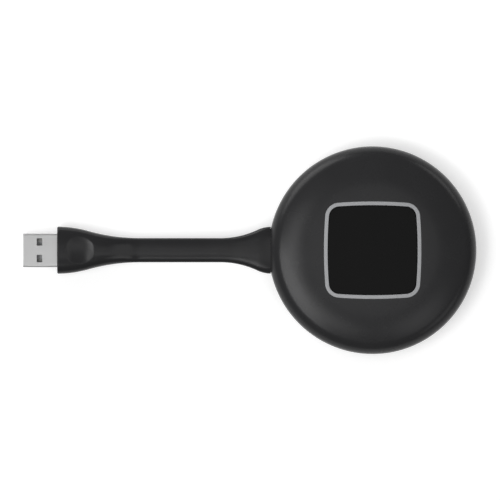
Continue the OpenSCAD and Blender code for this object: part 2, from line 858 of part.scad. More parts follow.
// Barrel that cuts the thumb dimple, flatter across the grip so that its edge is round on the crowned top
module dimple_cut() {
    x = grip_x + dimple_at;
    half_t = grip_half_t(x);
    edge_drop = half_t * (1 - pow(1 - pow(dimple_r / grip_half_w(x), lead_round), 1 / lead_round));
    along_r = sag_r(dimple_r, dimple_depth + edge_drop);
    across_r = sag_r(dimple_r, dimple_depth);
    translate([x, 0, plug_z + half_t - edge_drop - dimple_depth + across_r]) rotate([0, 90, 0])
        rotate_extrude() intersection() {
            translate([across_r - along_r, 0]) circle(along_r);
            translate([0, -along_r]) square([across_r, 2 * along_r]);
        }
}

// Outer form of the inner block, which the grip is moulded round
module core_block() {
    along_x(core_x, core_x + core_l) translate([0, plug_z]) round_rect(core_w, core_t, core_corner_r);
}

module plug_grip() {
    edge_x = grip_x + grip_edge_r;
    color(body_colour) difference() {
        loft(concat(
            [
                for (i = [0 : grip_rings])
                    let (x = mix(grip_end_x, edge_x, i / grip_rings))
                    ring_at(x, route_z(x), grip_section(x, 0))
            ],
            [
                for (i = [1 : grip_edge_rings])
                    let (a = 90 * i / grip_edge_rings, x = edge_x - grip_edge_r * sin(a))
                    ring_at(x, plug_z, grip_section(x, grip_edge_r * (1 - cos(a))))
            ]
        ));
        dimple_cut();
        core_block();
        along_x(grip_x - over, core_x + over) translate([0, plug_z])
            round_rect(shell_w, shell_t, shell_corner_r);
        lead_core();
    }
}

module plug_core() {
    color("#d9d6cc") difference() {
        core_block();
        along_x(core_x - over, shell_x1) translate([0, plug_z])
            round_rect(shell_w, shell_t, shell_corner_r);
    }
}

module plug_shell() {
    inner_r = shell_corner_r - shell_wall;
    color(metal_colour) difference() {
        along_x(tip_x, shell_x1) translate([0, plug_z]) difference() {
            round_rect(shell_w, shell_t, shell_corner_r);
            round_rect(shell_w - 2 * shell_wall, shell_t - 2 * shell_wall, inner_r);
        }
        for (side = [-1, 1]) block(
            [tip_x + window_at, side * window_pitch / 2, plug_z - shell_t],
            [window_l, window_w, 2 * shell_t]
        );
    }
}

// The four strips, which lie in grooves of the tongue
module contact_strips() {
    top = tongue_z + tongue_t;
    for (i = [0 : len(contact_at) - 1]) {
        start = tongue_x + contact_from[i];
        translate([start, contact_at[i] - contact_w / 2, top - contact_sink])
            cube([tongue_block_x - start, contact_w, contact_t]);
    }
}

module plug_tongue() {
    inner_w = shell_w - 2 * shell_wall;
    inner_t = shell_t - 2 * shell_wall;
    inner_r = shell_corner_r - shell_wall;
    color("#98999b") difference() {
        intersection() {
            along_x(tongue_x, shell_x1) translate([0, plug_z]) round_rect(inner_w, inner_t, inner_r);
            union() {
                translate([tongue_x, -inner_w / 2, tongue_z])
                    cube([shell_x1 - tongue_x, inner_w, tongue_t]);
                translate([tongue_block_x, -inner_w / 2, tongue_z])
                    cube([shell_x1 - tongue_block_x, inner_w, inner_t]);
            }
        }
        contact_strips();
    }
}

module plug_contacts() {
    color("#c9c7c2") contact_strips();
}

top_cover();
base_cover();
foot_pad();
light_ring();
button_cap();
key_frame();
switch_body();
switch_actuator();
switch_dome();
switch_terminals();
main_board();
board_screws();
cover_screws();
processor();
memory_chips();
thermal_pad();
heat_spreader();
radio_module();
radio_shield();
antennas();
ring_leds();
power_coil();
crystal();
board_passives();
lead_connector();
lead_wires();
strain_relief();
lead();
plug_grip();
plug_core();
plug_shell();
plug_tongue();
plug_contacts();
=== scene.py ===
"""Looks of a round push-button dongle with a light ring, on a short flat lead with a type-A plug.

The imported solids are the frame. The pieces that show are modelled again here as smooth meshes in
the same place, and the pieces sealed inside keep their solids and get their finishes. Shapes are
worked out in millimetres, and every finished mesh is in metres.
"""

import logging
import math
from collections.abc import Callable, Sequence
from dataclasses import dataclass, field
from enum import Enum
from typing import Any

import bmesh
import bpy
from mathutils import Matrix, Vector

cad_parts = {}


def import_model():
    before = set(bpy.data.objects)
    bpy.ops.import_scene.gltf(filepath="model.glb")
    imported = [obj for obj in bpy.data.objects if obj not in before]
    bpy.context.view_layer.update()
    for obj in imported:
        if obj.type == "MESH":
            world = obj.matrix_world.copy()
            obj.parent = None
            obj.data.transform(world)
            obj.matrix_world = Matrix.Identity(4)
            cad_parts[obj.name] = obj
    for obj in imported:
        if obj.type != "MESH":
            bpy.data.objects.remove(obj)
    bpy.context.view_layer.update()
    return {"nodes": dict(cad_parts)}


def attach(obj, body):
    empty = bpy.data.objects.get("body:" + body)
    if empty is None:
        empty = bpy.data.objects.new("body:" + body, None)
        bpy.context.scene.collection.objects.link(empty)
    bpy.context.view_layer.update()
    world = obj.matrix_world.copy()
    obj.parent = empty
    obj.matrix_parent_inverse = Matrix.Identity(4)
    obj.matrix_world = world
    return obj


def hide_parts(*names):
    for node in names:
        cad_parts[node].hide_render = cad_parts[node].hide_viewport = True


log = logging.getLogger("dongle")

MM = 0.001
TINY = 1e-9
ROUND_SIDES = 40
QUARTERS = (0.0, 90.0, 180.0, 270.0)
WHITE = "#ffffff"

Pair = tuple[float, float]
Point = tuple[float, float, float]
Ring = list[Point]
Profile = list[Pair]
Surface = Callable[[float], float]
Piece = bpy.types.Object
Tree = bpy.types.NodeTree
Node = bpy.types.Node
Socket = bpy.types.NodeSocket


class RidesOn(str, Enum):
    """The moving bodies that a piece can ride on."""

    HOUSING = "housing"
    BUTTON = "button"


class Cut(str, Enum):
    """How one mesh works on another."""

    ADD = "UNION"
    TAKE = "DIFFERENCE"


# Shape helpers


def mix(a: float, b: float, share: float) -> float:
    """Goes from one value to another.

    Args:
        a: Value at a share of 0.
        b: Value at a share of 1.
        share: How far to go.

    Returns:
        The value between them.
    """
    return a + (b - a) * share


def arc(centre: Pair, radius: float, start: float, end: float, steps: int) -> Profile:
    """Lays points along an arc.

    Args:
        centre: Middle of the arc.
        radius: Its radius.
        start: First angle, in degrees.
        end: Last angle, in degrees.
        steps: Number of steps between them.

    Returns:
        The points, both ends included.
    """
    turns = (math.radians(mix(start, end, i / steps)) for i in range(steps + 1))
    return [(centre[0] + radius * math.cos(a), centre[1] + radius * math.sin(a)) for a in turns]


def circle(radius: float, z: float, sides: int, centre: Pair = (0.0, 0.0)) -> Ring:
    """Lays a level circle.

    Args:
        radius: Its radius.
        z: Its height.
        sides: Number of points.
        centre: Its middle in X and Y.

    Returns:
        The points, turning from +X to +Y.
    """
    turns = (math.tau * i / sides for i in range(sides))
    return [(centre[0] + radius * math.cos(a), centre[1] + radius * math.sin(a), z) for a in turns]


def oval_reach(half_w: float, half_t: float, power: float, turn: float) -> float:
    """Reaches from the middle of a squarish oval to its edge.

    Args:
        half_w: Half of its width.
        half_t: Half of its thickness.
        power: Its roundness, with 2 for an ellipse and more for a squarer form.
        turn: Direction, in radians from its width.

    Returns:
        The distance to the edge.
    """
    across = abs(math.cos(turn) / half_w) ** power
    along = abs(math.sin(turn) / half_t) ** power
    return (across + along) ** (-1 / power)


def oval(x: float, z: float, half_w: float, half_t: float, power: float, sides: int) -> Ring:
    """Stands a squarish oval across X.

    Args:
        x: Its place along X.
        z: Height of its middle.
        half_w: Half of its width, along Y.
        half_t: Half of its thickness, along Z.
        power: Its roundness.
        sides: Number of points.

    Returns:
        The points, turning from +Y to +Z.
    """
    made = []
    for i in range(sides):
        turn = math.tau * i / sides
        reach = oval_reach(half_w, half_t, power, turn)
        made.append((x, reach * math.cos(turn), z + reach * math.sin(turn)))
    return made


def box_reach(half_w: float, half_t: float, corner_r: float, turn: float) -> float:
    """Reaches from the middle of a box with round corners to its edge.

    Args:
        half_w: Half of its width.
        half_t: Half of its thickness.
        corner_r: Radius of its corners.
        turn: Direction, in radians from its width.

    Returns:
        The distance to the edge.
    """
    c, s = abs(math.cos(turn)), abs(math.sin(turn))
    reach = min(half_w / max(c, TINY), half_t / max(s, TINY))
    in_w, in_t = half_w - corner_r, half_t - corner_r
    if reach * c > in_w and reach * s > in_t:
        ahead = in_w * c + in_t * s
        reach = ahead + math.sqrt(max(corner_r**2 - in_w**2 - in_t**2 + ahead**2, 0.0))
    return reach


def rise_s(along: float, length: float, rise: float, first_r: float) -> float:
    """Climbs an S curve of two arcs with level ends.

    Args:
        along: Distance along it.
        length: Its whole length.
        rise: Its whole rise.
        first_r: Radius of its first arc.

    Returns:
        The rise at that distance.
    """
    second_r = (length**2 + rise**2) / (2 * rise) - first_r
    change = length * first_r / (first_r + second_r)
    d = min(max(along, 0.0), length)
    if d < change:
        return first_r - math.sqrt(first_r**2 - d**2)
    return rise - second_r + math.sqrt(second_r**2 - (length - d) ** 2)


def sag_r(half: float, sag: float) -> float:
    """Gives the radius of an arc that sags by a depth over half its chord."""
    return (half**2 + sag**2) / (2 * sag)


def level(z: float) -> Surface:
    """Gives a level surface at a height."""
    return lambda _: z


def settle(sizes: Any, **derived: Any) -> None:
    """Fills in the sizes that a frozen class works out from its others.

    Args:
        sizes: The class's object.
        **derived: The sizes by name.
    """
    for key, value in derived.items():
        object.__setattr__(sizes, key, value)


# Hand tools


class Bench:
    """One mesh on the bench, shaped in edit mode from an outline that is extruded ring by ring.

    Each point of a ring keeps its number, so a new ring is laid on its own outline whatever order
    the extrusion leaves the points in.
    """

    STEP = "ring_step"
    WELD = 1e-4
    ORDER_DIGITS = 4

    def __init__(self, name: str, outline: Ring) -> None:
        """Starts a mesh as an open ring.

        Args:
            name: Name of the piece.
            outline: Points of the first ring, in millimetres.
        """
        bpy.ops.object.select_all(action="DESELECT")
        bpy.ops.mesh.primitive_circle_add(vertices=len(outline), radius=1.0)
        self.piece = bpy.context.object
        self.piece.name = name
        self.piece.data.name = name
        self.edit()
        bpy.ops.mesh.select_mode(type="EDGE")
        cage = bmesh.from_edit_mesh(self.piece.data)
        step = cage.verts.layers.int.new(self.STEP)
        for number, vert in enumerate(cage.verts):
            vert[step] = number
        self.lay(outline)

    def pick(self) -> None:
        """Selects this piece alone."""
        bpy.ops.object.select_all(action="DESELECT")
        self.piece.select_set(True)
        bpy.context.view_layer.objects.active = self.piece

    def edit(self) -> None:
        """Goes to edit mode on this piece alone."""
        self.pick()
        bpy.ops.object.mode_set(mode="EDIT")

    def rest(self) -> None:
        """Goes back to object mode."""
        bpy.ops.object.mode_set(mode="OBJECT")

    def put_in_order(self) -> None:
        """Numbers points, edges and faces by place and leaves edit mode.

        Some operators leave them in any order, and each run should give the same mesh.
        """
        cage = bmesh.from_edit_mesh(self.piece.data)

        def at(place: Vector) -> Point:
            """Gives a place to sort by, rounded well below what shows."""
            return tuple(round(c, self.ORDER_DIGITS) for c in place)

        places = (
            (cage.verts, lambda vert: at(vert.co)),
            (cage.edges, lambda edge: at(edge.verts[0].co + edge.verts[1].co)),
            (cage.faces, lambda face: at(face.calc_center_median())),
        )
        for parts, place in places:
            rank = {part: i for i, part in enumerate(sorted(parts, key=place))}
            parts.sort(key=rank.get)
            parts.index_update()
        bmesh.update_edit_mesh(self.piece.data)
        self.rest()

    def lay(self, outline: Ring) -> None:
        """Lays the selected ring on an outline.

        Args:
            outline: Points of the ring, in millimetres.
        """
        cage = bmesh.from_edit_mesh(self.piece.data)
        step = cage.verts.layers.int[self.STEP]
        for vert in cage.verts:
            if vert.select:
                vert.co = outline[vert[step]]
        bmesh.update_edit_mesh(self.piece.data)

    def ring(self, outline: Ring) -> None:
        """Extrudes the open edge onto a new outline.

        Args:
            outline: Points of the new ring, in millimetres.
        """
        bpy.ops.mesh.extrude_region()
        self.lay(outline)

    def rings(self, outlines: Sequence[Ring]) -> "Bench":
        """Extrudes through several outlines.

        Args:
            outlines: The rings in order.

        Returns:
            This bench.
        """
        for outline in outlines:
            self.ring(outline)
        return self

    def close(self) -> "Bench":
        """Welds rings that meet, fills what is open, turns the faces outwards and leaves edit mode.

        Returns:
            This bench.
        """
        bpy.ops.mesh.select_all(action="SELECT")
        bpy.ops.mesh.remove_doubles(threshold=self.WELD)
        bpy.ops.mesh.select_all(action="SELECT")
        bpy.ops.mesh.fill_holes(sides=0)
        bpy.ops.mesh.select_all(action="SELECT")
        bpy.ops.mesh.normals_make_consistent(inside=False)
        self.put_in_order()
        return self

    def slice_off(self, place: Point, facing: Point) -> None:
        """Cuts along a plane, drops what lies behind it and closes the cut.

        Args:
            place: A point of the plane.
            facing: The side that is kept.
        """
        self.edit()
        bpy.ops.mesh.select_all(action="SELECT")
        bpy.ops.mesh.bisect(plane_co=place, plane_no=facing, use_fill=True, clear_inner=True)
        self.put_in_order()

    def drop_faces(self, chosen: Callable[[Vector], bool]) -> None:
        """Deletes faces by the place of their middle.

        Args:
            chosen: Says whether a face with this middle goes.
        """
        self.edit()
        bpy.ops.mesh.select_mode(type="FACE")
        bpy.ops.mesh.select_all(action="DESELECT")
        cage = bmesh.from_edit_mesh(self.piece.data)
        for face in cage.faces:
            face.select = chosen(face.calc_center_median())
        bmesh.update_edit_mesh(self.piece.data)
        bpy.ops.mesh.delete(type="FACE")
        self.put_in_order()

    def modify(self, kind: str, **settings: Any) -> None:
        """Adds a modifier and applies it.

        Args:
            kind: The modifier's type.
            **settings: Its settings.
        """
        self.pick()
        bpy.ops.object.modifier_add(type=kind)
        modifier = self.piece.modifiers[-1]
        for key, value in settings.items():
            setattr(modifier, key, value)
        bpy.ops.object.modifier_apply(modifier=modifier.name)

    def soften(self, width: float, segments: int = 3, angle: float = 40.0) -> None:
        """Rounds the sharp edges.

        Args:
            width: Width of the rounding.
            segments: Its steps.
            angle: Least angle of an edge that is rounded, in degrees.
        """
        self.modify(
            "BEVEL",
            width=width,
            segments=segments,
            limit_method="ANGLE",
            angle_limit=math.radians(angle),
            use_clamp_overlap=True,
            miter_outer="MITER_ARC",
        )

    def work(self, cut: Cut, tools: Sequence["Bench"]) -> None:
        """Adds other meshes to this one or takes them out of it.

        Args:
            cut: Whether they are added or taken out.
            tools: The other meshes, which are used up. They don't touch each other.
        """
        bpy.ops.object.select_all(action="DESELECT")
        for tool in tools:
            tool.piece.select_set(True)
        first = tools[0].piece
        bpy.context.view_layer.objects.active = first
        if len(tools) > 1:
            bpy.ops.object.join()
        self.modify("BOOLEAN", operation=cut.value, solver="EXACT", object=first)
        mesh = first.data
        bpy.data.objects.remove(first)
        bpy.data.meshes.remove(mesh)

    def done(self, smooth_angle: float = 30.0) -> Piece:
        """Smooths the mesh up to an angle, with flat faces kept flat, and brings it to metres.

        Args:
            smooth_angle: Edges sharper than this stay crisp, in degrees.

        Returns:
            The finished piece.
        """
        numbers = self.piece.data.attributes.get(self.STEP)
        if numbers:
            self.piece.data.attributes.remove(numbers)
        self.edit()
        self.put_in_order()
        bpy.ops.object.shade_smooth_by_angle(angle=math.radians(smooth_angle))
        self.modify("WEIGHTED_NORMAL", keep_sharp=True)
        self.edit()
        bpy.ops.mesh.select_all(action="SELECT")
        bpy.ops.transform.resize(value=(MM, MM, MM), center_override=(0.0, 0.0, 0.0))
        self.rest()
        return self.piece


def turned_post(place: Pair, profile: Profile) -> Bench:
    """Stands a stepped round post or drill on its place.

    Args:
        place: Its axis in X and Y.
        profile: Radius and height of each step, from its lower end up.

    Returns:
        The closed mesh, as a tool.
    """
    first, *rest = (circle(r, z, ROUND_SIDES, place) for r, z in profile)
    return Bench("post", first).rings(rest).close()


def post(place: Pair, radius: float, low: float, high: float) -> Bench:
    """Stands a plain round post or drill on its place.

    Args:
        place: Its axis in X and Y.
        radius: Its radius.
        low: Its lower end.
        high: Its upper end.

    Returns:
        The closed mesh, as a tool.
    """
    return turned_post(place, [(radius, low), (radius, high)])


def prism(outline: Profile, low: float, high: float) -> Bench:
    """Stands a block of any outline.

    Args:
        outline: Its corners in X and Y.
        low: Its lower end.
        high: Its upper end.

    Returns:
        The closed mesh, as a tool.
    """
    first, last = ([(x, y, z) for x, y in outline] for z in (low, high))
    return Bench("block", first).rings([last]).close()


def block(x: Pair, y: Pair, z: Pair) -> Bench:
    """Makes a square block.

    Args:
        x: Its ends along X.
        y: Its ends along Y.
        z: Its ends along Z.

    Returns:
        The closed mesh, as a tool.
    """
    return prism([(x[0], y[0]), (x[1], y[0]), (x[1], y[1]), (x[0], y[1])], *z)


def on_circle(radius: float, turns: Sequence[float]) -> Profile:
    """Gives the places on a circle at some turns, in degrees."""
    return [(radius * math.cos(math.radians(a)), radius * math.sin(math.radians(a))) for a in turns]


# Finishes


def linear(colour: str) -> tuple[float, float, float, float]:
    """Turns an sRGB hex colour to linear light.

    Args:
        colour: Six hex digits after a hash.

    Returns:
        Red, green, blue and an alpha of 1.
    """
    parts = (int(colour[i : i + 2], 16) / 255 for i in (1, 3, 5))
    r, g, b = (c / 12.92 if c <= 0.04045 else ((c + 0.055) / 1.055) ** 2.4 for c in parts)
    return r, g, b, 1.0


def per_metre(size_mm: float) -> float:
    """Gives the scale of a pattern whose features are that size."""
    return 1 / (size_mm * MM)


def add_node(
    tree: Tree, kind: str, inputs: dict[str | int, Any] | None = None, **settings: Any
) -> Node:
    """Adds a node with its settings and links.

    Args:
        tree: The node tree.
        kind: The node's type.
        inputs: For each input, the socket that feeds it or its fixed value.
        **settings: The node's own settings.

    Returns:
        The new node.
    """
    made = tree.nodes.new(kind)
    for key, value in settings.items():
        setattr(made, key, value)
    for key, value in (inputs or {}).items():
        if isinstance(value, Socket):
            tree.links.new(value, made.inputs[key])
        else:
            made.inputs[key].default_value = value
    return made


@dataclass(frozen=True, kw_only=True)
class Finish:
    """A surface, named for its material and how it was made."""

    name: str
    colour: str
    roughness: float
    ior: float = 1.5
    metallic: float = 0.0
    tone: float = 0.08
    gloss_drift: float = 0.03

    def material(self) -> bpy.types.Material:
        """Builds the finish, or finds it where it was built before.

        Returns:
            The material.
        """
        ready = bpy.data.materials.get(self.name)
        if ready:
            return ready
        made = bpy.data.materials.new(self.name)
        made.use_nodes = True
        made.diffuse_color = linear(self.colour)
        tree = made.node_tree
        tree.nodes.clear()
        constants = {"IOR": self.ior, "Metallic": self.metallic}
        shader = add_node(tree, "ShaderNodeBsdfPrincipled", constants)
        self.draw(tree, shader, add_node(tree, "ShaderNodeTexCoord").outputs["Object"])
        add_node(tree, "ShaderNodeOutputMaterial", {"Surface": shader.outputs["BSDF"]})
        return made

    def coat(self, piece: Piece) -> None:
        """Puts the finish on a piece, in place of what it had."""
        piece.data.materials.clear()
        piece.data.materials.append(self.material())

    def draw(self, tree: Tree, shader: Node, place: Socket) -> None:
        """Draws the pattern of the finish.

        Args:
            tree: The material's nodes.
            shader: Its surface shader.
            place: Object coordinates.
        """
        raise NotImplementedError

    def tint(self, tree: Tree, shader: Node, pattern: Socket) -> None:
        """Lets the colour and the gloss drift with a pattern.

        Args:
            tree: The material's nodes.
            shader: Its surface shader.
            pattern: The pattern, from 0 to 1.
        """
        base = linear(self.colour)
        low = tuple(c * (1 - self.tone) for c in base[:3]) + (1.0,)
        high = tuple(min(c * (1 + self.tone), 1.0) for c in base[:3]) + (1.0,)
        colours = add_node(tree, "ShaderNodeMix", {0: pattern, 6: low, 7: high}, data_type="RGBA")
        tree.links.new(colours.outputs[2], shader.inputs["Base Color"])
        gloss = add_node(
            tree,
            "ShaderNodeMapRange",
            {
                "Value": pattern,
                "To Min": self.roughness - self.gloss_drift,
                "To Max": self.roughness + self.gloss_drift,
            },
        )
        tree.links.new(gloss.outputs["Result"], shader.inputs["Roughness"])

    def emboss(self, tree: Tree, shader: Node, height: Socket, depth_mm: float) -> None:
        """Raises a pattern from the surface.

        Args:
            tree: The material's nodes.
            shader: Its surface shader.
            height: The pattern, from 0 to 1.
            depth_mm: Its depth.
        """
        bump = add_node(tree, "ShaderNodeBump", {"Height": height, "Distance": depth_mm * MM})
        tree.links.new(bump.outputs["Normal"], shader.inputs["Normal"])


@dataclass(frozen=True, kw_only=True)
class Moulded(Finish):
    """Moulded plastic, rubber or resin: its tool's grain, and faint clouds from the melt's flow."""

    grain_mm: float = 0.3
    grain_depth_mm: float = 0.002
    grain_detail: float = 2.0
    cloud_mm: float = 9.0
    cloud_detail: float = 3.0
    glow: float = 0.0
    glow_depth_mm: float = 0.6

    def draw(self, tree: Tree, shader: Node, place: Socket) -> None:
        """Draws the clouds and the grain, and lets light soak into a clear melt.

        Args:
            tree: The material's nodes.
            shader: Its surface shader.
            place: Object coordinates.
        """
        sizes = ((self.cloud_mm, self.cloud_detail), (self.grain_mm, self.grain_detail))
        clouds, grain = (
            add_node(
                tree,
                "ShaderNodeTexNoise",
                {"Vector": place, "Scale": per_metre(size), "Detail": detail},
            ).outputs[0]
            for size, detail in sizes
        )
        self.tint(tree, shader, clouds)
        self.emboss(tree, shader, grain, self.grain_depth_mm)
        if self.glow:
            shader.inputs["Subsurface Weight"].default_value = self.glow
            shader.inputs["Subsurface Scale"].default_value = self.glow_depth_mm * MM
            shader.inputs["Subsurface Radius"].default_value = (1.0, 1.0, 1.0)


@dataclass(frozen=True, kw_only=True)
class Rolled(Finish):
    """Rolled sheet or drawn wire: fine lines along X, left by the rolls under any plating."""

    line_mm: float = 0.25
    line_length_mm: float = 9.0
    line_depth_mm: float = 0.0012
    line_detail: float = 3.0

    def draw(self, tree: Tree, shader: Node, place: Socket) -> None:
        """Draws the lines as noise stretched along X.

        Args:
            tree: The material's nodes.
            shader: Its surface shader.
            place: Object coordinates.
        """
        stretch = (per_metre(self.line_length_mm), per_metre(self.line_mm), per_metre(self.line_mm))
        along = add_node(tree, "ShaderNodeMapping", {"Vector": place, "Scale": stretch})
        lines = add_node(
            tree,
            "ShaderNodeTexNoise",
            {"Vector": along.outputs[0], "Scale": 1.0, "Detail": self.line_detail},
        )
        self.tint(tree, shader, lines.outputs[0])
        self.emboss(tree, shader, lines.outputs[0], self.line_depth_mm)


@dataclass(frozen=True, kw_only=True)
class Masked(Finish):
    """Glass-fibre board under solder mask: copper tracks stand up a little and show paler."""

    track_mm: float = 1.4
    track_height_mm: float = 0.03
    track_share: float = 0.12
    track_disorder: float = 0.6

    def draw(self, tree: Tree, shader: Node, place: Socket) -> None:
        """Draws a net of tracks between uneven cells.

        Args:
            tree: The material's nodes.
            shader: Its surface shader.
            place: Object coordinates.
        """
        cells = add_node(
            tree,
            "ShaderNodeTexVoronoi",
            {
                "Vector": place,
                "Scale": per_metre(self.track_mm),
                "Randomness": self.track_disorder,
            },
            feature="DISTANCE_TO_EDGE",
        )
        tracks = add_node(
            tree,
            "ShaderNodeMapRange",
            {
                "Value": cells.outputs["Distance"],
                "From Max": self.track_share,
                "To Min": 1.0,
                "To Max": 0.0,
            },
        )
        self.tint(tree, shader, tracks.outputs["Result"])
        self.emboss(tree, shader, tracks.outputs["Result"], self.track_height_mm)


# Dark ABS from a finely eroded tool: an even satin that turns soft lamps into broad sheens. The
# grain of a real tool is under 0.1 mm, so it is drawn three times as coarse to show at all.
SATIN_ABS = Moulded(
    name="ABS, dark, moulded satin",
    colour="#2a2a2b",
    roughness=0.27,
    ior=1.26,
    grain_mm=0.3,
    grain_depth_mm=0.0012,
)
# Black acrylic with a polished face: deep, with almost no colour of its own, and it mirrors lamps.
POLISHED_ACRYLIC = Moulded(
    name="acrylic, black, polished",
    colour="#070707",
    roughness=0.12,
    ior=1.17,
    gloss_drift=0.02,
    tone=0.2,
    grain_mm=4.0,
    grain_depth_mm=0.0006,
)
# Milky polycarbonate for guiding light: pale grey, matt, with light soaking in under its skin.
FROSTED_POLYCARBONATE = Moulded(
    name="polycarbonate, milky, frosted",
    colour="#98999b",
    roughness=0.45,
    ior=1.58,
    tone=0.03,
    grain_mm=0.25,
    grain_depth_mm=0.002,
    cloud_mm=5.0,
    glow=0.25,
)
# Thermoplastic elastomer moulded over the lead and plug: dark, with a soft rubbery sheen.
SOFT_ELASTOMER = Moulded(
    name="thermoplastic elastomer, dark, overmoulded",
    colour="#262627",
    roughness=0.23,
    ior=1.28,
    grain_mm=0.35,
    grain_depth_mm=0.003,
    cloud_mm=7.0,
)
# Silicone rubber of the foot: black and matt, with a grain that grips.
MATT_RUBBER = Moulded(
    name="silicone rubber, black, moulded matt",
    colour="#1d1d1e",
    roughness=0.75,
    ior=1.43,
    grain_mm=0.5,
    grain_depth_mm=0.02,
    cloud_mm=6.0,
)
# Nickel plate on pressed steel sheet: bright, slightly hazy, with roll lines towards the tip.
NICKEL_PLATE = Rolled(
    name="steel sheet, pressed, nickel plated",
    colour="#c6c6c6",
    roughness=0.36,
    metallic=1.0,
    tone=0.02,
    gloss_drift=0.03,
    line_depth_mm=0.0003,
)
# Nickel on the contact strips: greyer and duller than the shell, from plugging in and out.
NICKEL_STRIP = Rolled(
    name="phosphor bronze strip, nickel plated",
    colour="#8c8c8a",
    roughness=0.5,
    metallic=1.0,
    tone=0.06,
    line_mm=0.15,
)
# Glass-filled nylon of the tongue: mid grey and dull, with short fibres near its skin.
GREY_NYLON = Moulded(
    name="nylon, glass filled, grey, moulded",
    colour="#a2a3a5",
    roughness=0.55,
    grain_mm=0.2,
    grain_depth_mm=0.004,
    cloud_mm=2.0,
)
# Unfilled ABS of the inner frame: grey and satin.
GREY_ABS = Moulded(
    name="ABS, grey, moulded",
    colour="#515256",
    roughness=0.5,
    grain_depth_mm=0.004,
)
# Ivory nylon of the switch's stem, the header and the plug's core, and near enough to the pale
# ceramic of the small chips: a little waxy.
IVORY_NYLON = Moulded(
    name="nylon, ivory, moulded",
    colour="#d8d4c8",
    roughness=0.45,
    grain_mm=0.2,
    glow=0.1,
)
# Epoxy of the chip packages: black, matt and finely pitted.
CHIP_EPOXY = Moulded(
    name="epoxy resin, black, moulded",
    colour="#26272a",
    roughness=0.62,
    grain_mm=0.12,
    grain_depth_mm=0.006,
)
# Tinned steel of the screws, cans and switch springs: grey-bright with drawn lines.
TINNED_STEEL = Rolled(name="steel, tinned", colour="#b9bbbd", roughness=0.32, metallic=1.0)
# Aluminium sheet that spreads heat: pale with long brushed lines.
BRUSHED_ALUMINIUM = Rolled(
    name="aluminium sheet, brushed",
    colour="#d3d4d5",
    roughness=0.34,
    metallic=1.0,
    line_length_mm=16.0,
)
# Glass-epoxy board under a green mask: half glossy, with the copper tracks as a paler net.
MASKED_BOARD = Masked(
    name="glass epoxy, solder masked",
    colour="#1f5a38",
    roughness=0.35,
    tone=0.35,
)
# Silicone gel pad: dull blue-grey and soft.
THERMAL_GEL = Moulded(
    name="silicone gel, filled",
    colour="#8fa3ad",
    roughness=0.8,
    grain_mm=0.4,
    grain_depth_mm=0.01,
)
# Red PVC of the wires' jackets: smooth and slightly shiny.
WIRE_PVC = Moulded(name="PVC, extruded", colour="#9c2f2b", roughness=0.4, grain_mm=0.5)


@dataclass(frozen=True)
class Dress:
    """What a finished piece stands for in the frame."""

    nodes: tuple[str, ...]
    slot: str
    finish: Finish
    body: RidesOn = RidesOn.HOUSING

    def put_on(self, piece: Piece) -> Piece:
        """Gives a piece its finish and its body, and hides the solids of the nodes that it stands
        for.

        Args:
            piece: The finished piece.

        Returns:
            The same piece.
        """
        self.finish.coat(piece)
        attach(piece, self.body.value)
        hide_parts(*self.nodes)
        faces = len(piece.data.polygons)
        log.info("%s: %d faces, for %s", piece.name, faces, ", ".join(self.nodes))
        return piece


# Sub-assemblies


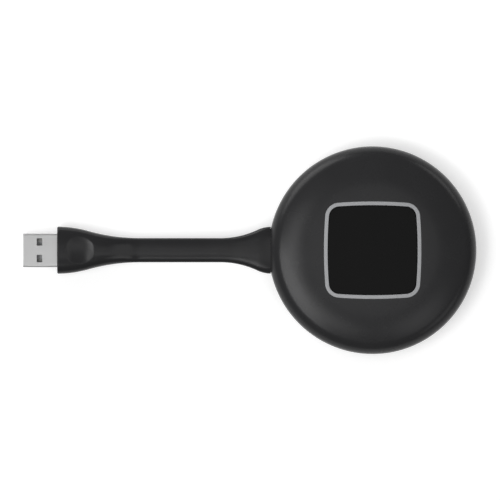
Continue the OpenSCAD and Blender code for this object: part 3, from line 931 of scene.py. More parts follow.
@dataclass(frozen=True)
class Dome:
    """The covers' outer form about Z: a crown, a shoulder and a rim that run into each other."""

    body_r: float = 36.5
    body_h: float = 16.5
    wall: float = 1.6
    rim_r: float = 6.1
    rim_slope: float = 18.0
    crown_slope: float = 4.0
    crown_edge_r: float = 22.5
    land_h: float = 0.8
    pad_proud: float = 0.6
    crown_r: float = field(init=False)
    rim_centre_r: float = field(init=False)
    shoulder_r: float = field(init=False)
    shoulder_centre: Pair = field(init=False)
    part_z: float = field(init=False)
    base_rim_r: float = field(init=False)
    base_rim_z: float = field(init=False)
    base_flat_r: float = field(init=False)

    def __post_init__(self) -> None:
        """Works out the arcs' radii and centres from the slopes at which they meet."""
        crown, rim = math.radians(self.crown_slope), math.radians(self.rim_slope)
        rim_centre_r = self.body_r - self.rim_r
        shoulder_edge_r = rim_centre_r + self.rim_r * math.sin(rim)
        shoulder_r = (shoulder_edge_r - self.crown_edge_r) / (math.sin(rim) - math.sin(crown))
        crown_r = self.crown_edge_r / math.sin(crown)
        crown_edge_z = self.body_h - crown_r * (1 - math.cos(crown))
        shoulder_edge_z = crown_edge_z - shoulder_r * (math.cos(crown) - math.cos(rim))
        part_z = shoulder_edge_z - self.rim_r * math.cos(rim)
        base_rim_r = part_z - self.land_h - self.pad_proud
        settle(
            self,
            rim_centre_r=rim_centre_r,
            shoulder_r=shoulder_r,
            shoulder_centre=(
                self.crown_edge_r - shoulder_r * math.sin(crown),
                crown_edge_z - shoulder_r * math.cos(crown),
            ),
            crown_r=crown_r,
            part_z=part_z,
            base_rim_r=base_rim_r,
            base_rim_z=self.pad_proud + base_rim_r,
            base_flat_r=self.body_r - base_rim_r,
        )

    def crown_z(self, r: float, inset: float = 0.0) -> float:
        """Gives the crown's height at a radius, drawn in by an inset."""
        return self.body_h - self.crown_r + math.sqrt((self.crown_r - inset) ** 2 - r**2)

    def flank(self, inset: float, shoulder_steps: int, rim_steps: int) -> Profile:
        """Runs from the crown's edge over the shoulder and the rim to the parting line.

        Args:
            inset: How far the form is drawn in.
            shoulder_steps: Steps over the shoulder.
            rim_steps: Steps round the rim.

        Returns:
            Radius and height of each point.
        """
        start, meet = 90 - self.crown_slope, 90 - self.rim_slope
        rim_centre = (self.rim_centre_r, self.part_z)
        shoulder = arc(self.shoulder_centre, self.shoulder_r - inset, start, meet, shoulder_steps)
        rim = arc(rim_centre, self.rim_r - inset, meet, 0.0, rim_steps)
        return shoulder + rim[1:]

    def bowl(self, inset: float, steps: int) -> Profile:
        """Runs from the base's flat round its edge to the land below the parting line.

        Args:
            inset: How far the form is drawn in.
            steps: Steps round the edge.

        Returns:
            Radius and height of each point.
        """
        centre = (self.base_flat_r, self.base_rim_z)
        return arc(centre, self.base_rim_r - inset, -90.0, 0.0, steps)


@dataclass(frozen=True)
class BowedSquare:
    """The ring's outline: a square with bowed sides and round corners."""

    width: float = 34.2
    side_r: float = 160.0
    corner_r: float = 5.0
    sides: int = 360
    bow_back: float = field(init=False)
    corner_at: float = field(init=False)
    meet: float = field(init=False)

    def __post_init__(self) -> None:
        """Works out where the sides' arcs run into the corners' arcs."""
        bow_back = self.side_r - self.width / 2
        to_corner = self.side_r - self.corner_r
        corner_at = (math.sqrt(2 * to_corner**2 - bow_back**2) - bow_back) / 2
        meet = math.atan2(corner_at, corner_at + bow_back)
        settle(self, bow_back=bow_back, corner_at=corner_at, meet=meet)

    def reach(self, turn: float, grow: float) -> float:
        """Reaches from the middle to the outline.

        Args:
            turn: Direction, in radians.
            grow: How far the outline is grown outwards.

        Returns:
            The distance to the outline.
        """
        quarter = math.tau / 4
        off = abs((turn + quarter / 2) % quarter - quarter / 2)
        c, s = math.cos(off), math.sin(off)
        side = -self.bow_back * c + math.sqrt((self.side_r + grow) ** 2 - (self.bow_back * s) ** 2)
        if math.atan2(side * s, side * c + self.bow_back) <= self.meet:
            return side
        ahead = self.corner_at * (c + s)
        return ahead + math.sqrt((self.corner_r + grow) ** 2 - 2 * self.corner_at**2 + ahead**2)

    def ring(
        self, grow: float, height: Surface, share: float = 1.0, to_r: float = 0.0
    ) -> Ring:
        """Lays the outline on a surface, or part of the way from a circle to it.

        Args:
            grow: How far the outline is grown outwards.
            height: Height of the surface at a radius.
            share: 1 on the outline, and 0 on the circle.
            to_r: Radius of the circle.

        Returns:
            The points, turning from +X to +Y.
        """
        made = []
        for i in range(self.sides):
            turn = math.tau * i / self.sides
            r = mix(to_r, self.reach(turn, grow), share)
            made.append((r * math.cos(turn), r * math.sin(turn), height(r)))
        return made


@dataclass(frozen=True)
class Stack:
    """Places and heights inside the body that its covers and its key share."""

    dome: Dome = Dome()
    square: BowedSquare = BowedSquare()
    fit: float = 0.05
    ring_flange: float = 1.2
    ring_flange_t: float = 0.9
    frame_t: float = 1.4
    key_travel: float = 0.5
    key_stop: float = 0.3
    stake_r: float = 1.0
    stake_room: float = 0.8
    boss_r: float = 2.5
    boss_room: float = 0.6
    screw_head_r: float = 1.8
    pad_cover: float = 1.1
    floor_z: float = 2.2
    board_z: float = 4.6
    stem_top: float = 10.2
    frame_top: float = field(init=False)
    frame_z: float = field(init=False)
    cap_z: float = field(init=False)
    boss_at: float = field(init=False)
    pad_r: float = field(init=False)
    stake_at: float = field(init=False)

    def __post_init__(self) -> None:
        """Works outwards from the ring's corners and downwards from the crown."""
        corner_reach = self.square.reach(math.tau / 8, self.ring_flange)
        cover_z = self.dome.crown_z(corner_reach) - self.dome.wall
        frame_top = cover_z - self.fit - self.ring_flange_t
        boss_at = corner_reach + self.boss_room + self.boss_r
        settle(
            self,
            frame_top=frame_top,
            frame_z=frame_top - self.frame_t,
            cap_z=frame_top + self.key_travel + self.key_stop,
            boss_at=boss_at,
            pad_r=boss_at + self.screw_head_r + self.pad_cover,
            stake_at=self.square.width / 2 + self.ring_flange + self.stake_room + self.stake_r,
        )


@dataclass(frozen=True)
class Covers:
    """The round body: a domed cover with the ring's opening, a bowl under it and a grooved foot."""

    stack: Stack = Stack()
    edge: float = 0.12
    crown_rings: int = 6
    shoulder_steps: int = 14
    rim_steps: int = 26
    inner_steps: int = 10
    lip_h: float = 0.9
    lip_t: float = 0.7
    lip_gap: float = 0.25
    seat_x: float = -35.75
    port_in_x: float = -33.65
    port_w: float = 16.0
    port_skin_r: float = 35.3
    port_steps: int = 16
    port_sides: int = 80
    lead_z: float = 7.5
    neck_half: Pair = (5.35, 2.05)
    neck_round: float = 4.0
    anchor_h: float = 6.4
    pad_t: float = 1.2
    pad_groove_w: float = 1.0
    pad_groove_t: float = 0.3
    pad_grooves: int = 3
    pad_edge: float = 0.15
    hub_r: float = 0.6
    boss_turns: tuple[float, ...] = (45.0, 135.0, 225.0, 315.0)
    boss_z: Pair = (4.1, 14.4)
    pilot_r: float = 1.0
    pilot_top: float = 10.5
    stake_root_z: float = 14.9
    stake_head_r: float = 1.7
    stake_head_h: float = 0.7
    screw_post_r: float = 3.35
    screw_post_z: float = 4.0
    screw_seat_z: float = 2.45
    screw_head_hole_r: float = 2.05
    screw_hole_r: float = 1.2
    board_turns: tuple[float, ...] = (0.0, 100.0, 260.0)
    sink: float = 0.8
    over: float = 1.0

    def build(self) -> None:
        """Models and dresses the two covers and the foot."""
        Dress(("top_cover",), "cover_plastic", SATIN_ABS).put_on(self.top())
        Dress(("base_cover",), "cover_plastic", SATIN_ABS).put_on(self.base())
        Dress(("foot_pad",), "foot_rubber", MATT_RUBBER).put_on(self.foot())

    def turned(self, profile: Profile) -> list[Ring]:
        """Turns a profile about Z into rings."""
        return [circle(r, z, self.stack.square.sides) for r, z in profile]

    def port_block(self, low: float, high: float) -> Bench:
        """Makes the thick wall behind the lead's seat.

        Args:
            low: Its lower end.
            high: Its upper end.

        Returns:
            The block, as a tool.
        """
        half_w = self.port_w / 2
        half = math.degrees(math.asin(half_w / self.port_skin_r))
        skin = arc((0.0, 0.0), self.port_skin_r, 180 - half, 180 + half, self.port_steps)
        return prism([*skin, (self.port_in_x, -half_w), (self.port_in_x, half_w)], low, high)

    def port_drill(self) -> Bench:
        """Makes the drill for the strain relief's neck.

        Returns:
            The drill, as a tool.
        """
        past = 2 * self.stack.dome.wall
        ends = (self.seat_x - past, self.port_in_x + past)
        section = (self.lead_z, *self.neck_half, self.neck_round, self.port_sides)
        near, far = (oval(x, *section) for x in ends)
        return Bench("drill", near).rings([far]).close()

    def top(self) -> Piece:
        """Models the domed cover with its opening, wall, seat, bosses and staked posts.

        Returns:
            The finished piece.
        """
        d, sq, fit = self.stack.dome, self.stack.square, self.stack.fit
        wall = d.wall

        def inner(r: float) -> float:
            """Gives the height of the crown's underside."""
            return d.crown_z(r, wall)

        opening = sq.ring(fit, d.crown_z)
        shares = [1 - (i + 1) / self.crown_rings for i in range(self.crown_rings)]
        bench = Bench("domed_top_cover", opening)
        bench.rings([sq.ring(fit, d.crown_z, share, d.crown_edge_r) for share in shares])
        bench.rings(self.turned(d.flank(0.0, self.shoulder_steps, self.rim_steps)[1:]))
        bench.rings(self.turned(d.flank(wall, self.inner_steps, self.inner_steps)[::-1]))
        inner_r = d.flank(wall, self.inner_steps, self.inner_steps)[0][0]
        bench.rings([sq.ring(fit, inner, share, inner_r) for share in (0.5, 1.0)])
        bench.ring(opening)
        bench.close()
        bench.soften(self.edge)
        bench.slice_off((self.seat_x, 0.0, 0.0), (1.0, 0.0, 0.0))
        bosses = on_circle(self.stack.boss_at, self.boss_turns)
        added = [post(p, self.stack.boss_r, *self.boss_z) for p in bosses]
        added.append(self.port_block(d.part_z, self.lead_z + self.anchor_h / 2))
        added += [self.stake(p) for p in on_circle(self.stack.stake_at, QUARTERS)]
        bench.work(Cut.ADD, added)
        pilot_z = (self.boss_z[0] - self.over, self.pilot_top)
        drills = [post(p, self.pilot_r, *pilot_z) for p in bosses]
        bench.work(Cut.TAKE, drills + [self.port_drill()])
        return bench.done()

    def stake(self, place: Pair) -> Bench:
        """Makes a post whose end was melted into a flat head.

        Args:
            place: Its axis in X and Y.

        Returns:
            The post, as a tool.
        """
        head_top = self.stack.frame_z - self.stack.fit
        head = [(self.stake_head_r, head_top - self.stake_head_h), (self.stake_head_r, head_top)]
        neck = [(self.stack.stake_r, z) for z in (head_top, self.stake_root_z)]
        return turned_post(place, head + neck)

    def base(self) -> Piece:
        """Models the bowl with its recess for the foot, lip, seat, posts and screw holes.

        Returns:
            The finished piece.
        """
        d, stack = self.stack.dome, self.stack
        recess_r = stack.pad_r + stack.fit
        lip_r = d.body_r - d.wall - self.lip_gap
        lip_low = d.part_z - d.wall
        inside = [p for p in d.bowl(d.wall, 2 * self.inner_steps)[::-1] if p[1] < lip_low]
        profile = [
            (recess_r, self.pad_t),
            (recess_r, d.pad_proud),
            *d.bowl(0.0, self.rim_steps),
            (d.body_r, d.part_z),
            (lip_r, d.part_z),
            (lip_r, d.part_z + self.lip_h),
            (lip_r - self.lip_t, d.part_z + self.lip_h),
            (lip_r - self.lip_t, lip_low),
            *inside,
            (self.hub_r, stack.floor_z),
        ]
        bench = Bench("bowl_base_cover", circle(self.hub_r, self.pad_t, stack.square.sides))
        bench.rings(self.turned(profile)).close()
        bench.soften(self.edge)
        bench.slice_off((self.seat_x, 0.0, 0.0), (1.0, 0.0, 0.0))
        half = self.port_w / 2 + self.lip_gap
        lip_z = (d.part_z, d.part_z + 2 * self.lip_h)
        bench.work(Cut.TAKE, [block((-d.body_r, -d.body_r / 2), (-half, half), lip_z)])
        low = stack.floor_z - self.sink
        screws = on_circle(stack.boss_at, self.boss_turns)
        boards = on_circle(stack.boss_at, self.board_turns)
        added = [post(p, self.screw_post_r, low, self.screw_post_z) for p in screws]
        added += [post(p, stack.boss_r, low, stack.board_z) for p in boards]
        added.append(self.port_block(self.lead_z - self.anchor_h / 2, d.part_z - self.edge))
        bench.work(Cut.ADD, added)
        bench.work(Cut.TAKE, [self.screw_drill(p) for p in screws])
        pilot_z = (stack.floor_z, stack.board_z + self.over)
        drills = [post(p, self.pilot_r, *pilot_z) for p in boards]
        bench.work(Cut.TAKE, drills + [self.port_drill()])
        return bench.done()

    def screw_drill(self, place: Pair) -> Bench:
        """Makes a stepped drill for a screw's head and shank.

        Args:
            place: Its axis in X and Y.

        Returns:
            The drill, as a tool.
        """
        head = [(self.screw_head_hole_r, z) for z in (0.0, self.screw_seat_z)]
        shank_z = (self.screw_seat_z, self.screw_post_z + self.over)
        return turned_post(place, head + [(self.screw_hole_r, z) for z in shank_z])

    def foot(self) -> Piece:
        """Models the round foot with its grip grooves.

        Returns:
            The finished piece.
        """
        profile: Profile = []
        pad_r = self.stack.pad_r
        for i in range(self.pad_grooves):
            middle = pad_r * (i + 1) / (self.pad_grooves + 1)
            near, far = middle - self.pad_groove_w / 2, middle + self.pad_groove_w / 2
            roof = self.pad_groove_t
            profile += [(near, 0.0), (near, roof), (far, roof), (far, 0.0)]
        profile += [(pad_r, 0.0), (pad_r, self.pad_t), (self.hub_r, self.pad_t)]
        bench = Bench("grooved_foot", circle(self.hub_r, 0.0, self.stack.square.sides))
        bench.rings(self.turned(profile)).close()
        bench.soften(self.pad_edge)
        return bench.done()


@dataclass(frozen=True)
class Key:
    """The light ring set flush in the crown, and the button that it frames."""

    stack: Stack = Stack()
    line: float = 1.3
    gap: float = 0.25
    recess: float = 0.1
    ring_edge: float = 0.1
    button_edge: float = 0.1
    button_edge_steps: int = 4
    button_rings: int = 8
    hub_share: float = 0.02
    leg_w: float = 3.0
    leg_t: float = 1.2
    leg_at: float = 8.5
    leg_low: float = 6.7
    guide_r: float = 1.2
    guide_at: float = 10.5
    guide_reach: float = 1.0
    plunger_r: float = 3.0
    root: float = 0.4
    snap_w: float = 4.0
    snap_t: float = 1.0
    snap_barb: float = 0.6

    def build(self) -> None:
        """Models and dresses the ring and the button."""
        Dress(("light_ring",), "light_guide", FROSTED_POLYCARBONATE).put_on(self.ring())
        button = Dress(("button_cap",), "key_gloss", POLISHED_ACRYLIC, RidesOn.BUTTON)
        button.put_on(self.button())

    def ring(self) -> Piece:
        """Models the ring with its hidden flange and the legs that pipe light up from the board.

        Returns:
            The finished piece.
        """
        stack, d, sq = self.stack, self.stack.dome, self.stack.square

        def under(r: float) -> float:
            """Gives the height of the flange's top, just under the cover."""
            return d.crown_z(r, d.wall + stack.fit)

        seat = level(stack.frame_top)
        first = sq.ring(0.0, d.crown_z)
        bench = Bench("frosted_ring", first)
        bench.rings(
            [
                sq.ring(-self.line / 2, d.crown_z),
                sq.ring(-self.line, d.crown_z),
                sq.ring(-self.line, seat),
                sq.ring(stack.ring_flange, seat),
                sq.ring(stack.ring_flange, under),
                sq.ring(0.0, under),
                first,
            ]
        )
        bench.close()
        bench.soften(self.ring_edge)
        middle = sq.width / 2 - self.line / 2
        heights = (self.leg_low, stack.frame_top + self.root)
        legs = []
        for side in (-1, 1):
            for at in (-self.leg_at, self.leg_at):
                across = (side * middle - self.leg_t / 2, side * middle + self.leg_t / 2)
                along = (at - self.leg_w / 2, at + self.leg_w / 2)
                legs += [block(across, along, heights), block(along, across, heights)]
        bench.work(Cut.ADD, legs)
        return bench.done()

    def button(self) -> Piece:
        """Models the button's face with a soft edge, and its plunger, guides and snap legs.

        Returns:
            The finished piece.
        """
        stack, d, sq = self.stack, self.stack.dome, self.stack.square
        inset = -(self.line + self.gap)
        root_z = stack.cap_z + self.root

        def face(r: float) -> float:
            """Gives the height of the face, a little below the crown."""
            return d.crown_z(r, self.recess)

        underside = level(stack.cap_z)
        steps = range(self.button_rings + 1)
        shares = [mix(self.hub_share, 1.0, i / self.button_rings) for i in steps]
        bench = Bench("gloss_button", sq.ring(inset, face, shares[0]))
        bench.rings([sq.ring(inset, face, share) for share in shares[1:]])
        bench.rings([sq.ring(inset, underside, share) for share in (1.0, 0.5, self.hub_share)])
        bench.close()
        bench.soften(self.button_edge, self.button_edge_steps)
        added = [post((0.0, 0.0), self.plunger_r, stack.stem_top + stack.fit, root_z)]
        for x in (-self.guide_at, self.guide_at):
            for y in (-self.guide_at, self.guide_at):
                added.append(post((x, y), self.guide_r, stack.frame_z - self.guide_reach, root_z))
        added += [self.snap(side) for side in (-1, 1)]
        bench.work(Cut.ADD, added)
        return bench.done()

    def snap(self, side: int) -> Bench:
        """Makes a snap leg with its barb.

        Args:
            side: 1 towards +Y and -1 towards -Y.

        Returns:
            The leg, as a tool.
        """
        barb_top, root_z = self.stack.frame_z - self.stack.fit, self.stack.cap_z + self.root
        low, near = barb_top - self.snap_t, self.guide_at + self.guide_r
        far = near + self.snap_t
        tip = far + self.snap_barb
        barb = [(near, low), (tip, low), (tip, barb_top), (far, barb_top)]
        side_on = [*barb, (far, root_z), (near, root_z)]
        ends = [[(x, side * y, z) for y, z in side_on] for x in (-self.snap_w / 2, self.snap_w / 2)]
        return Bench("snap", ends[0]).rings(ends[1:]).close()


@dataclass(frozen=True)
class Lead:
    """The flat lead, the flare that holds it to the body and the grip moulded over its plug end."""

    route: tuple[Point, ...] = (
        (-31.0, 0.0, 7.5),
        (-37.0, 0.0, 7.5),
        (-41.0, 0.0, 7.45),
        (-45.0, 0.0, 7.3),
        (-49.0, 0.0, 7.05),
        (-53.5, 0.0, 6.8),
        (-57.0, 0.0, 6.55),
        (-61.0, 0.0, 6.3),
        (-65.0, 0.0, 6.05),
        (-69.0, 0.0, 5.8),
        (-73.0, 0.0, 5.55),
        (-77.0, 0.0, 5.3),
        (-81.5, 0.0, 5.0),
        (-85.0, 0.0, 4.8),
        (-88.0, 0.0, 4.65),
        (-92.0, 0.0, 4.55),
        (-96.0, 0.0, 4.5),
        (-101.0, 0.0, 4.5),
    )
    free_from: int = 5
    free_to: int = 12
    width: float = 8.53
    thick: float = 3.8
    step: float = 0.6
    round_power: float = 3.2
    sides: int = 192
    lead_pitch: float = 1.0
    flare_w: float = 16.5
    flare_t: float = 5.0
    flare_hollow_r: float = 30.8
    flare_pitch: float = 0.5
    seat_x: float = -35.75
    neck_half: Pair = (5.3, 2.0)
    neck_round: float = 4.0
    anchor_x: Pair = (-33.6, -31.8)
    anchor_half: Pair = (6.5, 3.2)
    anchor_corner_r: float = 0.3
    grip_w: float = 16.6
    grip_t: float = 9.0
    grip_hollow_r: float = 68.0
    grip_taper_l: float = 15.8
    grip_x: float = -110.8
    grip_edge_r: float = 0.4
    grip_edge_steps: int = 5
    grip_pitch: float = 0.25
    core_x: float = -110.3
    core_half: Pair = (6.45, 3.1)
    core_corner_r: float = 1.6
    shell_half: Pair = (6.0, 2.25)
    shell_corner_r: float = 0.7
    dimple_r: float = 4.85
    dimple_depth: float = 0.3
    dimple_at: float = 8.1
    dimple_blend: float = 0.03
    dimple_clear: float = 0.3
    smooth_angle: float = 35.0

    def build(self) -> None:
        relief = Dress(("strain_relief",), "lead_elastomer", SOFT_ELASTOMER).put_on(self.relief())
        lead = Dress(("lead",), "lead_elastomer", SOFT_ELASTOMER).put_on(self.lead())
        grip = Dress(("plug_grip",), "lead_elastomer", SOFT_ELASTOMER).put_on(self.grip())
        path = [tuple(c * MM for c in point) for point in self.route]
        length = sum(math.dist(a, b) for a, b in zip(path, path[1:]))
        self.height(self.seat_x) * MM

    def height(self, x: float) -> float:
        """Follows the route's middle on a smooth curve through its points.

        Args:
            x: Place along X.

        Returns:
            The height there.
        """
        last = len(self.route) - 1
        i = next((k for k in range(last) if x >= self.route[k + 1][0]), last - 1)

        def slope(k: int) -> float:
            """Gives the route's slope at a point."""
            a, b = self.route[max(k - 1, 0)], self.route[min(k + 1, last)]
            return (b[2] - a[2]) / (b[0] - a[0])

        (x0, _, z0), (x1, _, z1) = self.route[i], self.route[i + 1]
        span = x1 - x0
        t = min(max((x - x0) / span, 0.0), 1.0)
        rise = (3 - 2 * t) * t * t
        return mix(z0, z1, rise) + span * t * (1 - t) * ((1 - t) * slope(i) - t * slope(i + 1))

    def section(self, x: float, half_w: float, half_t: float, power: float | None = None) -> Ring:
        """Stands a section of the lead at a place along its route."""
        return oval(x, self.height(x), half_w, half_t, power or self.round_power, self.sides)

    def free(self, x: float) -> Ring:
        """Stands the lead's open section."""
        return self.section(x, self.width / 2, self.thick / 2)

    def held(self, x: float) -> Ring:
        """Stands the lead's stepped-down section inside the mouldings."""
        return self.section(x, self.width / 2 - self.step, self.thick / 2 - self.step)

    def squared(self, x: float, half: Pair, corner_r: float) -> Ring:
        """Stands a box with round corners across X at the route's height.

        Args:
            x: Its place along X.
            half: Half of its width and thickness.
            corner_r: Radius of its corners.

        Returns:
            The points, turning from +Y to +Z.
        """
        turns = [math.tau * i / self.sides for i in range(self.sides)]
        reaches = [box_reach(*half, corner_r, turn) for turn in turns]
        z = self.height(x)
        return [(x, r * math.cos(a), z + r * math.sin(a)) for r, a in zip(reaches, turns)]

    @staticmethod
    def stations(start: float, end: float, pitch: float) -> list[float]:
        """Spaces places evenly between two ends, both included."""
        count = max(round(abs(end - start) / pitch), 1)
        return [mix(start, end, i / count) for i in range(count + 1)]

    def lead(self) -> Piece:
        """Models the lead itself, stepped down where the mouldings hold it.

        Returns:
            The finished piece.
        """
        first, last = self.route[0][0], self.route[-1][0]
        out, back = self.route[self.free_from][0], self.route[self.free_to][0]
        bench = Bench("flat_lead", self.held(first))
        bench.rings([self.held(x) for x in self.stations(first, out, self.lead_pitch)[1:]])
        bench.rings([self.free(x) for x in self.stations(out, back, self.lead_pitch)])
        bench.rings([self.held(x) for x in self.stations(back, last, self.lead_pitch)])
        return bench.close().done()

    def relief(self) -> Piece:
        """Models the flare with its neck and anchor, hollow for the lead.

        Returns:
            The finished piece.
        """
        out = self.route[self.free_from][0]
        rise = (self.flare_w - self.width) / 2

        def flare(x: float) -> Ring:
            """Stands the flare's section.

            Args:
                x: Its place along X.

            Returns:
                The section's points.
            """
            share = rise_s(x - out, self.seat_x - out, rise, self.flare_hollow_r) / rise
            half_w = mix(self.width, self.flare_w, share) / 2
            half_t = mix(self.thick, self.flare_t, share) / 2
            return self.section(x, half_w, half_t)

        def neck(x: float) -> Ring:
            """Stands the neck's section at a place along X."""
            return self.section(x, *self.neck_half, self.neck_round)

        first = flare(out)
        bench = Bench("flared_relief", first)
        bench.rings([flare(x) for x in self.stations(out, self.seat_x, self.flare_pitch)[1:]])
        bench.rings([neck(self.seat_x), neck(self.anchor_x[0])])
        plate = (self.anchor_half, self.anchor_corner_r)
        bench.rings([self.squared(x, *plate) for x in self.anchor_x])
        bench.rings([self.held(x) for x in self.stations(self.anchor_x[1], out, self.lead_pitch)])
        bench.ring(first)
        return bench.close().done()

    def grip_half(self, x: float) -> Pair:
        """Gives half of the grip's width and thickness.

        Args:
            x: Place along X.

        Returns:
            Both halves there.
        """
        end = self.route[self.free_to][0]
        more_w, more_t = (self.grip_w - self.width) / 2, (self.grip_t - self.thick) / 2
        wide = rise_s(end - x, end - self.grip_x, more_w, self.grip_hollow_r)
        deep = rise_s(end - x, self.grip_taper_l, more_t, self.grip_taper_l)
        return self.width / 2 + wide, self.thick / 2 + deep

    def dimpled(self, ring: Ring) -> Ring:
        """Presses the thumb dimple into the top of a section.

        Args:
            ring: The section's points.

        Returns:
            The points, lowered to the dimple's floor where it reaches them.
        """
        middle = self.grip_x + self.dimple_at
        half_w, half_t = self.grip_half(middle)
        power = self.round_power
        drop = half_t * (1 - (1 - (self.dimple_r / half_w) ** power) ** (1 / power))
        along_r = sag_r(self.dimple_r, self.dimple_depth + drop)
        across_r = sag_r(self.dimple_r, self.dimple_depth)
        deepest = self.height(middle) + half_t - drop - self.dimple_depth
        made = []
        for x, y, z in ring:
            floor = math.inf
            if z > self.height(middle) and abs(x - middle) < along_r / 2:
                across = across_r - along_r + math.sqrt(along_r**2 - (x - middle) ** 2)
                floor = deepest + across_r - math.sqrt(across**2 - y**2)
            over, cut = z - floor, 0.0
            if over >= -self.dimple_clear:
                cut = (over + math.sqrt(over**2 + self.dimple_blend**2)) / 2
            made.append((x, y, z - cut))
        return made

    def grip(self) -> Piece:
        """Models the grip with its thumb dimple, rounded front and hollow for the plug and lead.

        Returns:
            The finished piece.
        """
        end, lead_end = self.route[self.free_to][0], self.route[-1][0]
        edge_x = self.grip_x + self.grip_edge_r

        def outside(x: float, inset: float = 0.0) -> Ring:
            """Stands the grip's outer section at a place along X."""
            half_w, half_t = self.grip_half(x)
            return self.dimpled(self.section(x, half_w - inset, half_t - inset))

        first = outside(end)
        bench = Bench("dimpled_grip", first)
        bench.rings([outside(x) for x in self.stations(end, edge_x, self.grip_pitch)[1:]])
        for i in range(1, self.grip_edge_steps + 1):
            turn = math.radians(90 * i / self.grip_edge_steps)
            x = edge_x - self.grip_edge_r * math.sin(turn)
            bench.ring(outside(x, self.grip_edge_r * (1 - math.cos(turn))))
        shell, core = (self.shell_half, self.shell_corner_r), (self.core_half, self.core_corner_r)
        bench.rings([self.squared(x, *shell) for x in (self.grip_x, self.core_x)])
        bench.rings([self.squared(x, *core) for x in (self.core_x, lead_end)])
        bench.rings([self.held(x) for x in self.stations(lead_end, end, self.lead_pitch)])
        bench.ring(first)
        return bench.close().done(self.smooth_angle)


@dataclass(frozen=True)
class Plug:
    """The type-A plug's shell, folded from sheet with two latch windows on each broad side."""

    tip_x: float = -122.75
    back_x: float = -104.8
    z: float = 4.5
    half_w: float = 6.0
    half_t: float = 2.25
    wall: float = 0.3
    corner_r: float = 0.7
    corner_steps: int = 8
    window_at: float = 5.78
    window_l: float = 2.0
    window_w: float = 2.5
    window_pitch: float = 5.87
    seam: float = 0.06
    edge: float = 0.07
    edge_steps: int = 2
    edge_angle: float = 50.0
    smooth_angle: float = 35.0

    def build(self) -> None:
        """Models and dresses the shell."""
        Dress(("plug_shell",), "plug_steel", NICKEL_PLATE).put_on(self.shell())

    def outline(self) -> Profile:
        """Runs round the shell, with points at the edges of the windows and of the seam below.

        Returns:
            The points in Y and Z.
        """
        in_w, in_t = self.half_w - self.corner_r, self.half_t - self.corner_r
        near = self.window_pitch / 2 - self.window_w / 2
        far = self.window_pitch / 2 + self.window_w / 2
        top = [(y, self.half_t) for y in (far, near, -near, -far)]
        below = [(y, -self.half_t) for y in (-far, -near, -self.seam, self.seam, near, far)]
        corners = [
            arc((sy * in_w, sz * in_t), self.corner_r, start, start + 90, self.corner_steps)
            for sy, sz, start in ((1, 1, 0), (-1, 1, 90), (-1, -1, 180), (1, -1, 270))
        ]
        return corners[0] + top + corners[1] + corners[2] + below + corners[3]

    def shell(self) -> Piece:
        """Models the shell as a skin, opens its windows and seam and makes it as thick as sheet.

        Returns:
            The finished piece.
        """
        outline = self.outline()
        window_x = self.tip_x + self.window_at
        ends = (window_x - self.window_l / 2, window_x + self.window_l / 2)

        def across(x: float) -> Ring:
            """Stands the outline at a place along X."""
            return [(x, y, self.z + z) for y, z in outline]

        bench = Bench("folded_shell", across(self.tip_x))
        bench.rings([across(x) for x in (*ends, self.back_x)])
        bpy.ops.mesh.select_all(action="SELECT")
        bpy.ops.mesh.normals_make_consistent(inside=False)
        bench.put_in_order()

        def opened(middle: Vector) -> bool:
            """Says whether a face lies in a window or in the seam.

            Args:
                middle: The face's middle.

            Returns:
                True where it goes.
            """
            broad = abs(abs(middle.z - self.z) - self.half_t) < Bench.WELD
            window = ends[0] < middle.x < ends[1]
            window = window and abs(abs(middle.y) - self.window_pitch / 2) < self.window_w / 2
            seam = middle.z < self.z and abs(middle.y) < self.seam
            return broad and (window or seam)

        bench.drop_faces(opened)
        bench.modify("SOLIDIFY", thickness=self.wall, offset=-1.0, use_even_offset=True)
        bench.soften(self.edge, self.edge_steps, self.edge_angle)
        return bench.done(self.smooth_angle)


class Inside:
    """The pieces that keep their solids, sealed in the body or set inside the plug."""

    FINISHES: dict[Finish, tuple[str, ...]] = {
        GREY_ABS: ("key_frame",),
        CHIP_EPOXY: ("switch_body", "processor", "memory_chips", "power_coil"),
        IVORY_NYLON: (
            "switch_actuator",
            "antennas",
            "board_passives",
            "lead_connector",
            "plug_core",
        ),
        TINNED_STEEL: (
            "switch_dome",
            "switch_terminals",
            "board_screws",
            "cover_screws",
            "radio_shield",
            "crystal",
        ),
        MASKED_BOARD: ("main_board", "radio_module"),
        THERMAL_GEL: ("thermal_pad",),
        BRUSHED_ALUMINIUM: ("heat_spreader",),
        FROSTED_POLYCARBONATE: ("ring_leds",),
        WIRE_PVC: ("lead_wires",),
        GREY_NYLON: ("plug_tongue",),
        NICKEL_STRIP: ("plug_contacts",),
    }

    def dress(self, nodes: dict[str, Piece]) -> None:
        """Gives each kept solid its finish.

        Args:
            nodes: The frame's objects by node name.
        """
        for finish, names in self.FINISHES.items():
            for name in names:
                finish.coat(nodes[name])
                log.info("%s: dressed in %s", name, finish.name)


# Studio


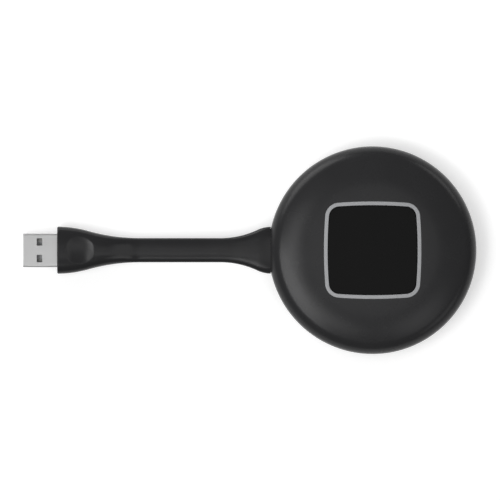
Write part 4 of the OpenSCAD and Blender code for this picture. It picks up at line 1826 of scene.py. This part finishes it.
@dataclass(frozen=True)
class Softbox:
    """A soft oval lamp that faces a place on the object.

    Its angles are in degrees, from +X and from straight above, and its sizes in millimetres. Its
    radiance sets how bright its face looks in a reflection, whatever its size.
    """

    name: str
    azimuth: float
    zenith: float
    distance: float
    width: float
    height: float
    radiance: float
    faces: Point = (0.0, 0.0, 12.0)

    def hang(self) -> None:
        """Hangs the lamp, out of the camera's sight."""
        turn, tilt = math.radians(self.azimuth), math.radians(self.zenith)
        target = Vector(self.faces)
        out = math.sin(tilt)
        away = Vector((out * math.cos(turn), out * math.sin(turn), math.cos(tilt)))
        lamp = bpy.data.lights.new(self.name, "AREA")
        lamp.shape = "ELLIPSE"
        lamp.size, lamp.size_y = self.width * MM, self.height * MM
        lamp.energy = self.radiance * math.pi * (math.pi / 4 * lamp.size * lamp.size_y)
        hung = bpy.data.objects.new(self.name, lamp)
        bpy.context.scene.collection.objects.link(hung)
        hung.location = (target + away * self.distance) * MM
        hung.rotation_euler = away.to_track_quat("Z", "Y").to_euler()
        hung.visible_camera = False


@dataclass(frozen=True)
class Studio:
    """A white table under soft lamps, seen from straight above."""

    frame_w: float = 175.65
    look_at: Point = (-43.03, 0.07, 8.0)
    lens: float = 1100.0
    sensor: float = 36.0
    sight: float = 100000.0
    floor_w: float = 40000.0
    floor_gap: float = 0.03
    sky: float = 0.145
    floor_colour: str = "#d8d8d8"
    floor_glow: float = 0.5
    lamps: tuple[Softbox, ...] = (
        Softbox("key_softbox", 206.0, 34.0, 2400.0, 1500.0, 720.0, 7.4),
        Softbox("upper_softbox", 226.0, 25.0, 2400.0, 1500.0, 440.0, 3.3),
        Softbox("left_softbox", 167.0, 24.0, 2400.0, 720.0, 520.0, 4.5),
        Softbox("top_softbox", 270.0, 0.5, 140.0, 92.0, 92.0, 1.33, (0.0, 0.0, 16.0)),
        Softbox("front_softbox", 305.0, 30.0, 600.0, 220.0, 200.0, 2.35),
        Softbox("low_left_softbox", 131.0, 74.0, 600.0, 580.0, 300.0, 3.9),
        Softbox("low_left_bar", 126.0, 88.5, 150.0, 110.0, 30.0, 1.8),
        Softbox("low_back_softbox", 45.0, 75.0, 600.0, 420.0, 220.0, 2.65),
        Softbox("low_front_softbox", 318.0, 66.0, 600.0, 320.0, 220.0, 1.35),
        Softbox("lead_strip", 270.0, 3.6, 120.0, 78.0, 12.5, 2.55, (-88.0, 0.0, 7.0)),
    )

    def build(self) -> None:
        """Sets up the view, the sky, the table, the lamps and the camera."""
        bpy.context.scene.view_settings.view_transform = "Standard"
        self.light()
        self.table()
        for lamp in self.lamps:
            lamp.hang()
        self.camera()

    def light(self) -> None:
        """Fills the room with a dim even light."""
        world = bpy.data.worlds.new("studio_room")
        bpy.context.scene.world = world
        world.use_nodes = True
        tree = world.node_tree
        tree.nodes.clear()
        light = {"Color": linear(WHITE), "Strength": self.sky}
        room = add_node(tree, "ShaderNodeBackground", light)
        add_node(tree, "ShaderNodeOutputWorld", {"Surface": room.outputs[0]})

    def table(self) -> None:
        """Lays the white table, which shows as white to the camera and in reflections."""
        bpy.ops.object.select_all(action="DESELECT")
        middle = (0.0, 0.0, -self.floor_gap * MM)
        bpy.ops.mesh.primitive_plane_add(size=self.floor_w * MM, location=middle)
        table = bpy.context.object
        table.name = "white_table"
        paint = bpy.data.materials.new("white table paint")
        paint.use_nodes = True
        tree = paint.node_tree
        tree.nodes.clear()
        rays = add_node(tree, "ShaderNodeLightPath").outputs
        seen = rays["Is Camera Ray"]
        for kind in ("Is Glossy Ray", "Is Transmission Ray"):
            both = {0: seen, 1: rays[kind]}
            seen = add_node(tree, "ShaderNodeMath", both, operation="MAXIMUM").outputs[0]
        shine = {0: seen, 1: self.floor_glow}
        glow = add_node(tree, "ShaderNodeMath", shine, operation="MULTIPLY")
        shader = add_node(
            tree,
            "ShaderNodeBsdfPrincipled",
            {
                "Base Color": linear(self.floor_colour),
                "Roughness": 1.0,
                "Specular IOR Level": 0.0,
                "Emission Color": linear(WHITE),
                "Emission Strength": glow.outputs[0],
            },
        )
        add_node(tree, "ShaderNodeOutputMaterial", {"Surface": shader.outputs[0]})
        table.data.materials.append(paint)

    def camera(self) -> None:
        """Sets the camera straight above, far away and with a long lens."""
        data = bpy.data.cameras.new("top_camera")
        data.lens, data.sensor_width, data.sensor_fit = self.lens, self.sensor, "HORIZONTAL"
        data.clip_end = self.sight * MM
        camera = bpy.data.objects.new("top_camera", data)
        bpy.context.scene.collection.objects.link(camera)
        x, y, z = self.look_at
        camera.location = (x * MM, y * MM, (z + self.frame_w * self.lens / self.sensor) * MM)
        bpy.context.scene.camera = camera


def main() -> None:
    """Loads the frame, models and dresses every piece and sets up the studio."""
    logging.basicConfig(level=logging.INFO, format="%(name)s: %(message)s")
    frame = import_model()
    Studio().build()
    Plug().build()
    Lead().build()
    Covers().build()
    Key().build()
    Inside().dress(frame["nodes"])


if __name__ == "__main__":
    main()
